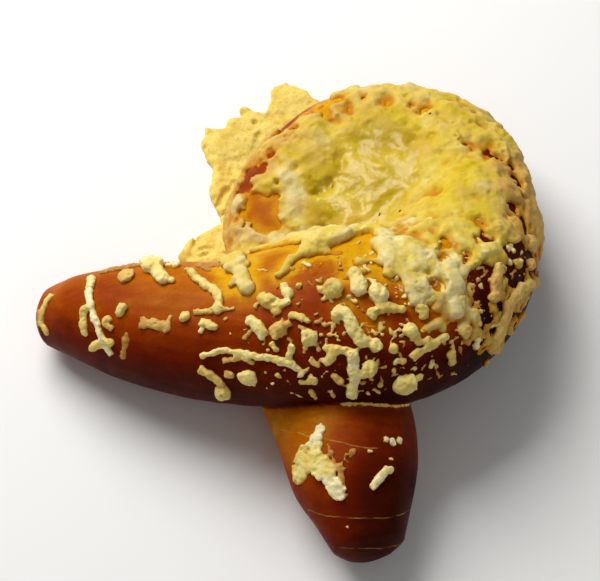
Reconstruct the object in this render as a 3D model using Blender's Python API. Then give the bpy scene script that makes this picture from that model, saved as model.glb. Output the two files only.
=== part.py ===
"""Cheese pretzel knot: one rope of lye dough looped over itself, baked under grated cheese.

Metres, +Z up. The knot lies on Z = 0, with the origin under the middle of the whole. +X runs
along the thick arm towards the loop's outer side, and +Y from the short end to the loop.
Sizes in the tables are millimetres.
"""

import math
from typing import NamedTuple

import bmesh
import bpy
from mathutils import Matrix, Vector

MM = 0.001

# Meshing
ROPE_SIDES = 32
STATION_STEPS = 8
BALL_SEGMENTS = 48
SOFTENING_STEPS = 6
VOXEL = 1.5 * MM
TRAY_CUT_REACH = 200 * MM
DOUGH_TRIANGLES = 4600
CRUST_OFFSET_TRIANGLES = 5200

# Cheese
CLEARANCE = 0.35 * MM
SHEET_THICKNESS = 2.4 * MM
SHEET_TOP = 70 * MM
TRAY_CHEESE_THICKNESS = 3.0 * MM
SHRED_SIDES = 6
SHRED_SINK = 0.25
SHRED_STEP = 4.0
SHRED_END_SHARE = 0.55
SHRED_END_REACH = 0.8

# How a rope's end draws in: shares of its length past the last section, and that length as a
# share of the half width
TIP_SHARES = (0.97, 0.85, 0.55)
TIP_LENGTH = 0.75

# The dough that closes the loop's eye, and the melted cheese that stands in it
EYE_DOUGH = {"centre": (27, 31, 14.5), "radii": (37, 31, 11.5), "rise": 6}
EYE_CHEESE = {"centre": (28, 33, 23), "radii": (40, 33, 10), "rise": 10}

CRUST_BROWN = (0.36, 0.11, 0.025, 1)
CHEESE_YELLOW = (0.80, 0.60, 0.22, 1)
TRAY_YELLOW = (0.88, 0.70, 0.26, 1)


class Station(NamedTuple):
    """A cross-section of the dough rope: its centre, half its width and half its height."""

    x: float
    y: float
    z: float
    half_width: float
    half_height: float


class Swell(NamedTuple):
    """A rounded rise in an edge: where it is, half its spread and how far it reaches."""

    place: float
    half_spread: float
    reach: float

    def at(self, place):
        """How far the edge has risen at a place."""
        share = min(1, abs(place - self.place) / self.half_spread)
        return self.reach * math.cos(share * math.pi / 2)


class Shred(NamedTuple):
    """A melted shred: its width, and its path as (mm along the rope, degrees from the crown)."""

    width: float
    path: tuple


# From the long arm's tip, over the crossing and round the loop's outer side
BELLY_ROPE = (
    Station(-69.5, -7.3, 11.2, 11.2, 11.0),
    Station(-61.0, -9.4, 14.4, 14.6, 14.0),
    Station(-44.0, -13.5, 18.0, 19.5, 17.3),
    Station(-20.0, -19.6, 23.5, 22.4, 19.0),
    Station(6.0, -21.0, 31.0, 27.0, 20.0),
    Station(30.0, -18.0, 31.0, 28.0, 21.0),
    Station(47.5, -3.0, 26.5, 24.5, 21.0),
    Station(54.5, 21.5, 20.3, 20.3, 20.8),
    Station(47.0, 47.4, 17.0, 18.6, 17.7),
    Station(24.0, 58.3, 15.3, 15.0, 16.0),
)
# From the loop's back, under the arm and out to the short end
TAIL_ROPE = (
    Station(38.0, 56.0, 15.0, 14.5, 15.5),
    Station(18.5, 57.0, 15.0, 14.0, 15.7),
    Station(3.0, 45.5, 14.8, 14.0, 15.5),
    Station(-4.5, 26.3, 13.8, 15.5, 14.6),
    Station(-1.0, 2.0, 12.0, 18.0, 13.0),
    Station(7.5, -24.0, 12.7, 21.2, 13.5),
    Station(14.8, -46.0, 15.0, 21.0, 16.0),
    Station(17.8, -64.0, 15.5, 18.9, 15.5),
    Station(20.5, -79.2, 13.5, 13.0, 12.0),
)

# The melted sheet's front edge, in mm along the belly rope and degrees from its crown. It lies
# behind the crown as far as the turn, then comes down over the loop's shoulder.
SHEET_START = 58
SHEET_TURN = 100
SHEET_END = 138
SHEET_BACK_ANGLE = -44
SHEET_SHOULDER_ANGLE = 86
SHEET_RUNS = (
    Swell(66.5, 5, 32),
    Swell(90, 5, 12),
    Swell(106, 4.5, 44),
    Swell(111.5, 4, 46),
    Swell(122, 4, 18),
)
# Round the outer side its edge hangs at an uneven height
LOOP_CENTRE = (28, 32)
SHEET_OUTER_RADII = (60, 52)
SHEET_OUTER_BEARINGS = range(-25, 90, 5)
SHEET_HEM = 19
SHEET_HEM_SWELLS = (Swell(5, 12, 4), Swell(45, 14, -3), Swell(80, 12, 3))
# At the upper left it draws back from the rim to this many degrees from the tail rope's crown
SHEET_RIM_START = 16
SHEET_RIM_END = 88
SHEET_RIM_START_OVERHANG = 9
SHEET_RIM_ANGLE = 66
SHEET_LOWEST = 12

# Cheese that ran off the loop and crisped on the tray, as a reach from the loop's centre in
# mm that swells to knobs at these bearings in degrees
TRAY_CHEESE_BEARINGS = (98, 218)
TRAY_CHEESE_END_TAPER = 20
TRAY_CHEESE_INNER_REACH = 30
TRAY_CHEESE_REACH = 51
TRAY_CHEESE_BODY = Swell(136, 44, 12)
TRAY_CHEESE_KNOBS = (
    Swell(118, 6, 5.5),
    Swell(123.5, 3, 3.5),
    Swell(130, 3, -2.5),
    Swell(133.5, 2.5, 3.5),
    Swell(140, 5, 3),
    Swell(145, 2.5, 5),
    Swell(150, 6.5, 7),
    Swell(191, 13, 14.5),
)

# The larger shreds and blobs, from the arm's tip to the loop's outer side
BELLY_SHREDS = (
    Shred(2.6, ((12, -21), (14, 8), (17, 31), (20, 51), (23, 64))),
    Shred(2.2, ((14, 17), (13, 32), (14, 52))),
    Shred(3.0, ((26, 14), (25, 24))),
    Shred(2.8, ((33, 28), (38, 28), (42, 30))),
    Shred(5.0, ((27, -42), (31, -28), (36, -13))),
    Shred(2.6, ((42, -29), (48, -15), (55, -5), (57, 3), (57, 15))),
    Shred(2.4, ((51, 20), (57, 25))),
    Shred(2.2, ((52, 48), (59, 42), (64, 44), (71, 47), (76, 52), (78, 61))),
    Shred(3.0, ((51, 58), (56, 69), (56, 78))),
    Shred(4.8, ((63, 63), (65, 60))),
    Shred(3.8, ((70, 4), (72, 10))),
    Shred(3.0, ((67, 22), (68, 21), (71, 33))),
    Shred(4.2, ((75, 26), (73, 31))),
    Shred(2.8, ((77, 38), (75, 47))),
    Shred(4.4, ((81, 32), (80, 38))),
    Shred(5.4, ((87, 3), (85, 5))),
    Shred(4.5, ((91, -8), (92, 1), (92, 7))),
    Shred(4.6, ((96, 6), (97, 12))),
    Shred(3.6, ((86, 22), (88, 19), (90, 27), (91, 36), (94, 42))),
    Shred(3.2, ((90, 43), (90, 53), (90, 66), (89, 81))),
    Shred(4.5, ((93, 55), (93, 59))),
    Shred(4.6, ((101, 33), (101, 39))),
    Shred(2.4, ((108, 47), (104, 49), (100, 54))),
    Shred(5.6, ((98, 73), (100, 71))),
    Shred(2.8, ((107, 59), (107, 69))),
    Shred(3.6, ((111, 50), (111, 54))),
    Shred(3.2, ((132, 84), (126, 66), (121, 62), (118, 75), (116, 83))),
)
TAIL_SHREDS = (
    Shred(4.2, ((144, 25), (147, 30))),
    Shred(6.6, ((149, 34), (152, 42))),
    Shred(5.4, ((150, 46), (150, 58))),
    Shred(5.6, ((154, 38), (158, 32), (163, 29))),
    Shred(2.4, ((159, -27), (161, -18), (162, -10))),
)


class Rope:
    """A dough rope through its stations, with a frame and a length along at each section."""

    def __init__(self, stations):
        self.sections = spline(stations, STATION_STEPS)
        centres = [Vector(section[:3]) for section in self.sections]
        self.along = [0.0]
        for before, after in zip(centres, centres[1:]):
            self.along.append(self.along[-1] + (after - before).length)
        self.frames = []
        for i, centre in enumerate(centres):
            ahead = centres[min(i + 1, len(centres) - 1)]
            behind = centres[max(i - 1, 0)]
            forward = (ahead - behind).normalized()
            side = Vector((0, 0, 1)).cross(forward).normalized()
            self.frames.append((centre, forward, side, forward.cross(side)))

    def at(self, along):
        """Index of the section nearest to a length along the rope."""
        return min(range(len(self.along)), key=lambda i: abs(self.along[i] - along))

    def surface_point(self, along, around):
        """Point on the rope's skin, and its outward direction, in mm."""
        index = self.at(along)
        centre, forward, side, up = self.frames[index]
        centre = centre + forward * (along - self.along[index])
        half_width, half_height = self.sections[index][3:]
        angle = math.radians(90 + around)
        point = centre + side * half_width * math.cos(angle) + up * half_height * math.sin(angle)
        outward = side * math.cos(angle) / half_width + up * math.sin(angle) / half_height
        return point, outward.normalized()


def spline(points, steps):
    """Catmull-Rom spline through every point, with this many steps from one to the next."""
    points = [Vector(point) for point in points]
    points = [2 * points[0] - points[1], *points, 2 * points[-1] - points[-2]]
    curve = []
    for a, b, c, d in zip(points, points[1:], points[2:], points[3:]):
        for step in range(steps):
            t = step / steps
            linear = (c - a) * t
            square = (2 * a - 5 * b + 4 * c - d) * t * t
            cube = (3 * b - a - 3 * c + d) * t**3
            curve.append(b + (linear + square + cube) / 2)
    return [*curve, points[-2]]


def sheet_outline(belly, tail):
    """The melted sheet's outline in plan, with the height that its edge hangs to, in mm."""
    outline = []
    for along in range(SHEET_START, SHEET_END + 1, 2):
        share = max(0, along - SHEET_TURN) / (SHEET_END - SHEET_TURN)
        angle = SHEET_BACK_ANGLE + share * (SHEET_SHOULDER_ANGLE - SHEET_BACK_ANGLE)
        angle += sum(run.at(along) for run in SHEET_RUNS)
        point, _ = belly.surface_point(along, min(angle, SHEET_SHOULDER_ANGLE))
        outline.append((point.x, point.y, SHEET_LOWEST))
    for bearing in SHEET_OUTER_BEARINGS:
        turn = math.radians(bearing)
        x = LOOP_CENTRE[0] + SHEET_OUTER_RADII[0] * math.cos(turn)
        y = LOOP_CENTRE[1] + SHEET_OUTER_RADII[1] * math.sin(turn)
        outline.append((x, y, SHEET_HEM + sum(swell.at(bearing) for swell in SHEET_HEM_SWELLS)))
    for along in range(SHEET_RIM_START, SHEET_RIM_END, 4):
        share = (SHEET_RIM_END - along) / (SHEET_RIM_END - SHEET_RIM_START)
        point, outward = tail.surface_point(along, SHEET_RIM_ANGLE)
        point += outward * SHEET_RIM_START_OVERHANG * share**4
        outline.append((point.x, point.y, SHEET_HEM))
    return outline


def tray_cheese_outline():
    """The tray cheese's outline in plan, with knobs round its outer edge."""
    first, last = TRAY_CHEESE_BEARINGS
    outer, inner = [], []
    for bearing in range(first + 2, last, 2):
        swells = (TRAY_CHEESE_BODY, *TRAY_CHEESE_KNOBS)
        reach = TRAY_CHEESE_REACH + sum(swell.at(bearing) for swell in swells)
        from_end = min(bearing - first, last - bearing) / TRAY_CHEESE_END_TAPER
        reach -= (reach - TRAY_CHEESE_INNER_REACH) * max(0, 1 - from_end) ** 2
        turn = math.radians(bearing)
        for ring, radius in ((outer, reach), (inner, TRAY_CHEESE_INNER_REACH)):
            x = LOOP_CENTRE[0] + radius * math.cos(turn)
            y = LOOP_CENTRE[1] + radius * math.sin(turn)
            ring.append((x, y, 0))
    return outer + inner[::-1]


def clear_scene():
    for obj in list(bpy.data.objects):
        bpy.data.objects.remove(obj)


def material(name, colour, roughness):
    made = bpy.data.materials.new(name)
    made.use_nodes = True
    surface = made.node_tree.nodes["Principled BSDF"]
    surface.inputs["Base Color"].default_value = colour
    surface.inputs["Roughness"].default_value = roughness
    surface.inputs["Metallic"].default_value = 0
    return made


def new_object(name, shape):
    """Puts a bmesh, or a finished mesh, in the scene."""
    mesh = shape
    if isinstance(shape, bmesh.types.BMesh):
        bmesh.ops.recalc_face_normals(shape, faces=shape.faces)
        mesh = bpy.data.meshes.new(name)
        shape.to_mesh(mesh)
        shape.free()
    obj = bpy.data.objects.new(name, mesh)
    bpy.context.scene.collection.objects.link(obj)
    return obj


def applied(obj, name):
    """A new object holding obj as its modifiers leave it. obj is removed."""
    graph = bpy.context.evaluated_depsgraph_get()
    made = new_object(name, bpy.data.meshes.new_from_object(obj.evaluated_get(graph)))
    bpy.data.objects.remove(obj)
    return made


def combine(obj, other, operation, solver="MANIFOLD"):
    """Adds a Boolean with one other object, applies it and removes the other."""
    boolean = obj.modifiers.new(operation.lower(), "BOOLEAN")
    boolean.operation = operation
    boolean.solver = solver
    boolean.object = other
    made = applied(obj, obj.name)
    bpy.data.objects.remove(other)
    return made


def reduce_to(obj, triangles):
    """Adds a Decimate that leaves about this many triangles, and applies it."""
    obj.data.calc_loop_triangles()
    decimate = obj.modifiers.new("fewer faces", "DECIMATE")
    decimate.ratio = min(1, triangles / len(obj.data.loop_triangles))
    return applied(obj, obj.name)


def grown(obj, name, distance, triangles):
    """A copy of obj whose whole surface stands out by distance, remeshed to stay clean."""
    copy = new_object(name, obj.data.copy())
    stand_out = copy.modifiers.new("stand out", "DISPLACE")
    stand_out.strength = distance
    stand_out.mid_level = 0
    remesh = copy.modifiers.new("clean", "REMESH")
    remesh.mode = "VOXEL"
    remesh.voxel_size = VOXEL
    return reduce_to(applied(copy, name), triangles)


def bridge_rings(bm, rings):
    """Skins rings of equal vertex count in order, and closes both ends."""
    count = len(rings[0])
    for ring, following in zip(rings, rings[1:]):
        for i in range(count):
            j = (i + 1) % count
            bm.faces.new((ring[i], ring[j], following[j], following[i]))
    bm.faces.new(rings[0])
    bm.faces.new(rings[-1])


def rope_object(name, rope):
    """Lofts the rope through its sections, with both ends drawn in to a rounded tip."""
    bm = bmesh.new()
    rings = []
    last = len(rope.sections) - 1
    for index in range(last + 1):
        centre, forward, side, up = rope.frames[index]
        half_width, half_height = rope.sections[index][3:]
        ends = [(0, 0)]
        if index == 0:
            ends = [(-share, share) for share in TIP_SHARES] + ends
        if index == last:
            ends = ends + [(share, share) for share in reversed(TIP_SHARES)]
        for reach, share in ends:
            shrink = math.sqrt(1 - share * share)
            middle = centre + forward * reach * TIP_LENGTH * half_width
            ring = []
            for i in range(ROPE_SIDES):
                angle = math.tau * i / ROPE_SIDES
                offset = side * half_width * math.cos(angle) + up * half_height * math.sin(angle)
                ring.append(bm.verts.new((middle + offset * shrink) * MM))
            rings.append(ring)
    bridge_rings(bm, rings)
    return new_object(name, bm)


def ball_object(name, centre, radii, rise):
    """A squashed ball that rises towards +X by this many degrees."""
    bm = bmesh.new()
    bmesh.ops.create_uvsphere(bm, u_segments=BALL_SEGMENTS, v_segments=BALL_SEGMENTS // 2, radius=1)
    bmesh.ops.scale(bm, vec=Vector(radii) * MM, verts=bm.verts)
    tilt = Matrix.Rotation(math.radians(-rise), 3, "Y")
    bmesh.ops.rotate(bm, cent=(0, 0, 0), matrix=tilt, verts=bm.verts)
    bmesh.ops.translate(bm, vec=Vector(centre) * MM, verts=bm.verts)
    return new_object(name, bm)


def prism_object(name, outline, top):
    """Stands an outline of (x, y, low) points up to a level top."""
    bm = bmesh.new()
    low_ring = [bm.verts.new(Vector(point) * MM) for point in outline]
    high_ring = [bm.verts.new((point[0] * MM, point[1] * MM, top)) for point in outline]
    bridge_rings(bm, [low_ring, high_ring])
    bmesh.ops.triangulate(bm, faces=bm.faces)
    return new_object(name, bm)


def block_object(name, low, high):
    """A box between two corners, in metres."""
    bm = bmesh.new()
    bmesh.ops.create_cube(bm, size=1)
    low, high = Vector(low), Vector(high)
    bmesh.ops.scale(bm, vec=high - low, verts=bm.verts)
    bmesh.ops.translate(bm, vec=(high + low) / 2, verts=bm.verts)
    return new_object(name, bm)


def smooth_dough(ropes):
    """The ropes and the eye's dough fused into one loaf, finely meshed and flat underneath."""
    dough = rope_object("dough", ropes[0])
    for other in (
        rope_object("tail", ropes[1]),
        ball_object("eye dough", **EYE_DOUGH),
    ):
        dough = combine(dough, other, "UNION")
    fuse = dough.modifiers.new("fuse", "REMESH")
    fuse.mode = "VOXEL"
    fuse.voxel_size = VOXEL
    soften = dough.modifiers.new("soften the creases", "SMOOTH")
    soften.factor = 0.5
    soften.iterations = SOFTENING_STEPS
    dough = applied(dough, "dough")
    reach = TRAY_CUT_REACH
    below_tray = block_object("below the tray", (-reach, -reach, -reach), (reach, reach, 0))
    return combine(dough, below_tray, "DIFFERENCE")


def shred_object(rope, shred, gap=0):
    """A shred as a tube of flat sides that follows the crust, half sunk in it.

    A gap, in mm, makes it stand out on all sides, for cutting a neighbour clear.
    """
    length = sum(
        math.dist(rope.surface_point(*a)[0], rope.surface_point(*b)[0])
        for a, b in zip(shred.path, shred.path[1:])
    )
    spans = len(shred.path) - 1
    steps = max(1, round(length / spans / SHRED_STEP))
    path = spline([(along, around, 0) for along, around in shred.path], steps)
    points = [rope.surface_point(along, around) for along, around, _ in path]
    radius = shred.width / 2
    outer = radius + gap
    bm = bmesh.new()
    rings = []
    for i, (point, outward) in enumerate(points):
        ahead = points[min(i + 1, len(points) - 1)][0]
        behind = points[max(i - 1, 0)][0]
        forward = (ahead - behind).normalized()
        side = outward.cross(forward).normalized()
        centre = point + outward * radius * SHRED_SINK
        ends = [(0, 1)]
        if i == 0:
            ends = [(-SHRED_END_REACH, SHRED_END_SHARE)] + ends
        if i == len(points) - 1:
            ends = ends + [(SHRED_END_REACH, SHRED_END_SHARE)]
        for reach, share in ends:
            ring = []
            for k in range(SHRED_SIDES):
                angle = math.tau * k / SHRED_SIDES
                offset = side * math.cos(angle) + outward * math.sin(angle)
                place = centre + forward * reach * outer + offset * outer * share
                ring.append(bm.verts.new(place * MM))
            rings.append(ring)
    bridge_rings(bm, rings)
    return new_object("shred", bm)


def with_shreds(obj, ropes, gap=0):
    """Fuses every shred onto obj with one union."""
    toppings = [
        shred_object(rope, shred, gap)
        for rope, shreds in zip(ropes, (BELLY_SHREDS, TAIL_SHREDS))
        for shred in shreds
    ]
    gathered = bpy.data.collections.new("toppings")
    bpy.context.scene.collection.children.link(gathered)
    for topping in toppings:
        bpy.context.scene.collection.objects.unlink(topping)
        gathered.objects.link(topping)
    union = obj.modifiers.new("toppings", "BOOLEAN")
    union.operation = "UNION"
    union.solver = "MANIFOLD"
    union.operand_type = "COLLECTION"
    union.collection = gathered
    fused = applied(obj, obj.name)
    for topping in toppings:
        bpy.data.objects.remove(topping)
    bpy.data.collections.remove(gathered)
    return fused


def melted_cheese(dough, ropes, clearance):
    """The sheet over the loop and the pool in its eye, clear of the crust below."""
    sheet = grown(dough, "sheet", SHEET_THICKNESS, CRUST_OFFSET_TRIANGLES)
    pool = ball_object("pool", **EYE_CHEESE)
    cheese = combine(sheet, pool, "UNION")
    outline = prism_object("sheet outline", sheet_outline(*ropes), SHEET_TOP)
    cheese = combine(cheese, outline, "INTERSECT")
    return without_scraps(combine(cheese, clearance, "DIFFERENCE"))


def without_scraps(obj):
    """Drops every loose scrap that a cut leaves beside the main body."""
    bm = bmesh.new()
    bm.from_mesh(obj.data)
    bodies = []
    waiting = set(bm.verts)
    while waiting:
        edge_of_body = [waiting.pop()]
        body = set(edge_of_body)
        while edge_of_body:
            vert = edge_of_body.pop()
            near = {edge.other_vert(vert) for edge in vert.link_edges} & waiting
            waiting -= near
            body |= near
            edge_of_body.extend(near)
        bodies.append(body)
    bodies.sort(key=len)
    scraps = [vert for body in bodies[:-1] for vert in body]
    bmesh.ops.delete(bm, geom=scraps, context="VERTS")
    bm.to_mesh(obj.data)
    bm.free()
    return obj


def clearance_of(coarse_dough, ropes):
    """The crust and its shreds, standing out by the gap that neighbours keep."""
    crust = new_object("clearance", coarse_dough.data.copy())
    stand_out = crust.modifiers.new("gap", "DISPLACE")
    stand_out.strength = CLEARANCE
    stand_out.mid_level = 0
    return with_shreds(applied(crust, "clearance"), ropes, CLEARANCE / MM)


def tray_cheese(clearance):
    """The crisp spill on the tray, cut clear of the loop's side."""
    spill = prism_object("spill", tray_cheese_outline(), TRAY_CHEESE_THICKNESS)
    return without_scraps(combine(spill, clearance, "DIFFERENCE"))


def finish(obj, name, colour, roughness):
    """Names a node, and gives it its material and smooth shading."""
    obj.name = name
    obj.data.materials.clear()
    obj.data.materials.append(material(name, colour, roughness))
    obj.data.shade_smooth()
    obj.data.set_sharp_from_angle(angle=math.radians(50))


def main():
    clear_scene()
    ropes = (Rope(BELLY_ROPE), Rope(TAIL_ROPE))
    dough = smooth_dough(ropes)
    coarse_dough = reduce_to(new_object("coarse dough", dough.data.copy()), DOUGH_TRIANGLES)
    cheese = melted_cheese(dough, ropes, clearance_of(coarse_dough, ropes))
    spill = tray_cheese(clearance_of(coarse_dough, ropes))
    knot = with_shreds(coarse_dough, ropes)
    bpy.data.objects.remove(dough)
    finish(knot, "pretzel_knot", CRUST_BROWN, 0.35)
    finish(cheese, "melted_cheese", CHEESE_YELLOW, 0.45)
    finish(spill, "tray_cheese", TRAY_YELLOW, 0.6)


main()
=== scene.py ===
"""Looks of a cheese pretzel knot: glossy lye crust, melted cheese, shreds and a crisp spill.

Lengths in the tables and in the fields are millimetres in the frame of the CAD part, and
become metres when a mesh is made. +Z is up, +Y runs from the short end to the loop.
"""

from __future__ import annotations

import logging
import math
from collections.abc import Sequence
from dataclasses import dataclass, field
from enum import Enum
from typing import Any, ClassVar, NamedTuple

import bpy
import numpy as np
import openvdb
from mathutils import Matrix, Vector
from mathutils.bvhtree import BVHTree


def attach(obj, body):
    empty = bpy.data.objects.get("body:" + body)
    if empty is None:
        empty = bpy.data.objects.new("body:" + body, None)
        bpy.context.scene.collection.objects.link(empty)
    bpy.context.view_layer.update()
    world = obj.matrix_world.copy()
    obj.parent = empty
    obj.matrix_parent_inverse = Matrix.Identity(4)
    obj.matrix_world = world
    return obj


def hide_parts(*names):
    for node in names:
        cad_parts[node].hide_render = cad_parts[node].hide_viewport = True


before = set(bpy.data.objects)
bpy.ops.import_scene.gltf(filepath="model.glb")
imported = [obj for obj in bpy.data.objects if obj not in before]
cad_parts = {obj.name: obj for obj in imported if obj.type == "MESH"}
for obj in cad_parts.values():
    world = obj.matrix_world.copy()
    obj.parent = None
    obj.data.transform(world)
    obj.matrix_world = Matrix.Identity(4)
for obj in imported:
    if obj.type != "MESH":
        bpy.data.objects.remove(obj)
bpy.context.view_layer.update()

LOG = logging.getLogger("pretzel_knot")
MM = 0.001
BODY = "root"
# A body of a mesh with no more points than this is a scrap
SCRAP_POINTS = 60
# Rays that look straight down start this high, in mm
SKY = 80


class Node(Enum):
    """The solids of the CAD part, each with its material slot's name."""

    KNOT = ("pretzel_knot", "crust")
    SHEET = ("melted_cheese", "melted_cheese")
    SPILL = ("tray_cheese", "tray_cheese")


class Station(NamedTuple):
    """A cross-section of the dough rope: its centre, half its width and half its height."""

    x: float
    y: float
    z: float
    half_width: float
    half_height: float


class Swell(NamedTuple):
    """A rounded rise in an edge: where it is, half its spread and how far it reaches."""

    place: float
    half_spread: float
    reach: float

    def at(self, place: float) -> float:
        """How far the edge has risen at a place."""
        share = min(1.0, abs(place - self.place) / self.half_spread)
        return self.reach * math.cos(share * math.pi / 2)


class Shred(NamedTuple):
    """A melted shred: width, how toasted, its path, and its height as a share of its width."""

    width: float
    toast: float
    path: tuple[tuple[float, float], ...]
    plump: float = 0.7


class Spot(NamedTuple):
    """A lump or pit of the sheet seen from above: how far it rises, and how it shifts the shade,
    where a darker shift is partly painted shade.
    """

    x: float
    y: float
    radius: float
    rise: float
    paler: float
    toast: float


class Pit(NamedTuple):
    """A hole in the sheet on the belly's flank, placed along and around it."""

    along: float
    around: float
    radius: float
    depth: float


class SkinLine(NamedTuple):
    """A fine line in the crust, placed by Y + 0.72 Z + slope X, between two X."""

    height: float
    slope: float
    start: float
    end: float
    strength: float


BELLY_STATIONS = (
    Station(-69.5, -7.3, 11.2, 11.2, 11.0),
    Station(-61.0, -9.4, 14.4, 14.6, 14.0),
    Station(-44.0, -13.5, 18.0, 19.5, 17.3),
    Station(-20.0, -19.6, 23.5, 22.4, 19.0),
    Station(6.0, -21.0, 31.0, 27.0, 20.0),
    Station(30.0, -18.0, 31.0, 28.0, 21.0),
    Station(47.5, -3.0, 26.5, 24.5, 21.0),
    Station(54.5, 21.5, 20.3, 20.3, 20.8),
    Station(47.0, 47.4, 17.0, 18.6, 17.7),
    Station(24.0, 58.3, 15.3, 15.0, 16.0),
)
TAIL_STATIONS = (
    Station(38.0, 56.0, 15.0, 14.5, 15.5),
    Station(18.5, 57.0, 15.0, 14.0, 15.7),
    Station(3.0, 45.5, 14.8, 14.0, 15.5),
    Station(-4.5, 26.3, 13.8, 15.5, 14.6),
    Station(-1.0, 2.0, 12.0, 18.0, 13.0),
    Station(7.5, -24.0, 12.7, 21.2, 13.5),
    Station(14.8, -46.0, 15.0, 21.0, 16.0),
    Station(17.8, -64.0, 15.5, 18.9, 15.5),
    Station(20.5, -79.2, 13.5, 13.0, 12.0),
)
# Stretched skin on the short end, from its tip to the crossing
SKIN_LINES = (
    SkinLine(-60.7, 0.0, 4, 34, 0.26),
    SkinLine(-72.2, 0.0, 8, 32, 0.2),
    SkinLine(-34.0, 0.17, -4, 24, 0.3),
)

# Paths are mm along the rope and degrees from its crown, positive towards the front
BELLY_SHREDS = (
    Shred(2.2, 0.0, ((12, -21), (14, 8), (17, 31), (20, 51), (23, 64))),
    Shred(2.1, 0.3, ((14, 17), (13, 32), (14, 52))),
    Shred(2.3, 0.3, ((16, 62), (20, 54), (24, 50))),
    Shred(3.0, 0.3, ((26, 14), (25, 24))),
    Shred(1.8, 0.5, ((22, 28), (21, 32), (23, 38))),
    Shred(3.4, 0.75, ((33, 28), (38, 28), (42, 30)), 0.3),
    Shred(1.2, 0.6, ((43, 15), (41, 25))),
    Shred(2.2, 0.95, ((28, 38), (28, 50), (27, 66)), 0.2),
    Shred(6.0, 0.2, ((26, -47), (29, -38), (31, -28)), 0.4),
    Shred(4.2, 0.2, ((31, -28), (34, -19), (37, -12)), 0.6),
    Shred(3.0, 0.2, ((33, -40), (37, -36)), 0.4),
    Shred(4.4, 0.6, ((24, -23), (23, -14)), 0.3),
    Shred(2.4, 0.5, ((2, -4), (-1, 16), (-2, 40), (0, 62)), 0.4),
    Shred(3.2, 0.9, ((-3, 20), (-3, 48)), 0.2),
    Shred(2.8, 0.95, ((13, -34), (18, -38), (25, -44)), 0.12),
    Shred(3.0, 0.9, ((43, -42), (49, -40), (56, -42)), 0.12),
    Shred(1.2, 0.9, ((46, -36), (50, -29)), 0.2),
    Shred(1.0, 0.9, ((52, -37), (55, -30)), 0.2),
    Shred(2.6, 0.3, ((42, -29), (48, -15), (55, -5), (57, 3), (57, 15))),
    Shred(1.7, 0.5, ((49, 14), (57, 11), (63, 10))),
    Shred(2.7, 0.4, ((46, 20), (47, 16))),
    Shred(2.4, 0.2, ((51, 20), (57, 25))),
    Shred(2.0, 0.2, ((52, 48), (59, 42), (64, 44), (71, 47), (76, 52), (78, 61))),
    Shred(2.0, 0.5, ((58, 50), (64, 47), (67, 51))),
    Shred(2.4, 0.6, ((51, 58), (56, 69), (56, 76))),
    Shred(4.5, 0.3, ((56, 79), (57, 81))),
    Shred(4.8, 0.2, ((64, 62), (65, 61))),
    Shred(2.0, 0.6, ((58, 60), (61, 62))),
    Shred(3.9, 0.4, ((71, 4), (72, 10))),
    Shred(2.4, 0.3, ((72, 8), (75, 10), (77, 9))),
    Shred(2.1, 0.5, ((74, 12), (74, 16))),
    Shred(2.6, 0.2, ((75, -4), (77, 6))),
    Shred(3.0, 0.2, ((67, 22), (68, 21), (71, 33))),
    Shred(4.2, 0.5, ((75, 26), (73, 31))),
    Shred(2.6, 0.2, ((77, 38), (75, 47))),
    Shred(2.3, 0.4, ((77, 19), (78, 19), (81, 25))),
    Shred(4.5, 0.2, ((81, 32), (80, 38))),
    Shred(1.8, 0.4, ((77, 67), (80, 66), (80, 64))),
    Shred(6.0, 0.42, ((87, 3), (86, 4))),
    Shred(2.1, 0.4, ((83, 3), (85, 4))),
    Shred(2.2, 0.4, ((84, 41), (85, 43), (84, 54))),
    Shred(4.5, 0.2, ((91, -8), (92, 1), (92, 7))),
    Shred(5.1, 0.28, ((96, 7), (97, 12))),
    Shred(3.6, 0.2, ((86, 22), (88, 19), (90, 27), (91, 36), (92, 39))),
    Shred(4.2, 0.2, ((94, 41), (94, 42))),
    Shred(3.3, 0.2, ((90, 43), (90, 53), (90, 66), (89, 81))),
    Shred(2.4, 0.3, ((86, 43), (88, 44), (90, 45))),
    Shred(4.5, 0.3, ((93, 55), (93, 59))),
    Shred(2.9, 0.3, ((94, 19), (94, 24))),
    Shred(2.7, 0.5, ((96, 20), (98, 18), (101, 24))),
    Shred(4.8, 0.2, ((101, 33), (101, 38))),
    Shred(2.4, 0.4, ((102, 40), (103, 45), (105, 50))),
    Shred(2.4, 0.3, ((107, 47), (104, 49), (100, 54))),
    Shred(2.7, 0.4, ((97, 44), (97, 46))),
    Shred(3.6, 0.4, ((104, 23), (104, 31))),
    Shred(4.2, 0.3, ((105, 8), (105, 18))),
    Shred(2.4, 0.5, ((104, 21), (107, 22), (109, 24))),
    Shred(5.7, 0.3, ((98, 73), (100, 72))),
    Shred(2.1, 0.4, ((100, 70), (102, 69))),
    Shred(2.7, 0.5, ((107, 59), (107, 69))),
    Shred(3.6, 0.4, ((111, 49), (111, 52))),
    Shred(3.0, 0.5, ((114, 41), (114, 53))),
    Shred(3.9, 0.4, ((112, 30), (110, 38))),
    Shred(3.4, 0.6, ((134, 81), (129, 63), (123, 58), (120, 65), (117, 75))),
    Shred(3.9, 0.7, ((117, 78), (117, 83))),
    Shred(3.6, 0.6, ((126, 33), (122, 39), (119, 46))),
    Shred(3.6, 0.6, ((140, 53), (137, 55))),
    Shred(3.3, 0.7, ((135, 59), (133, 62))),
)
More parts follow.
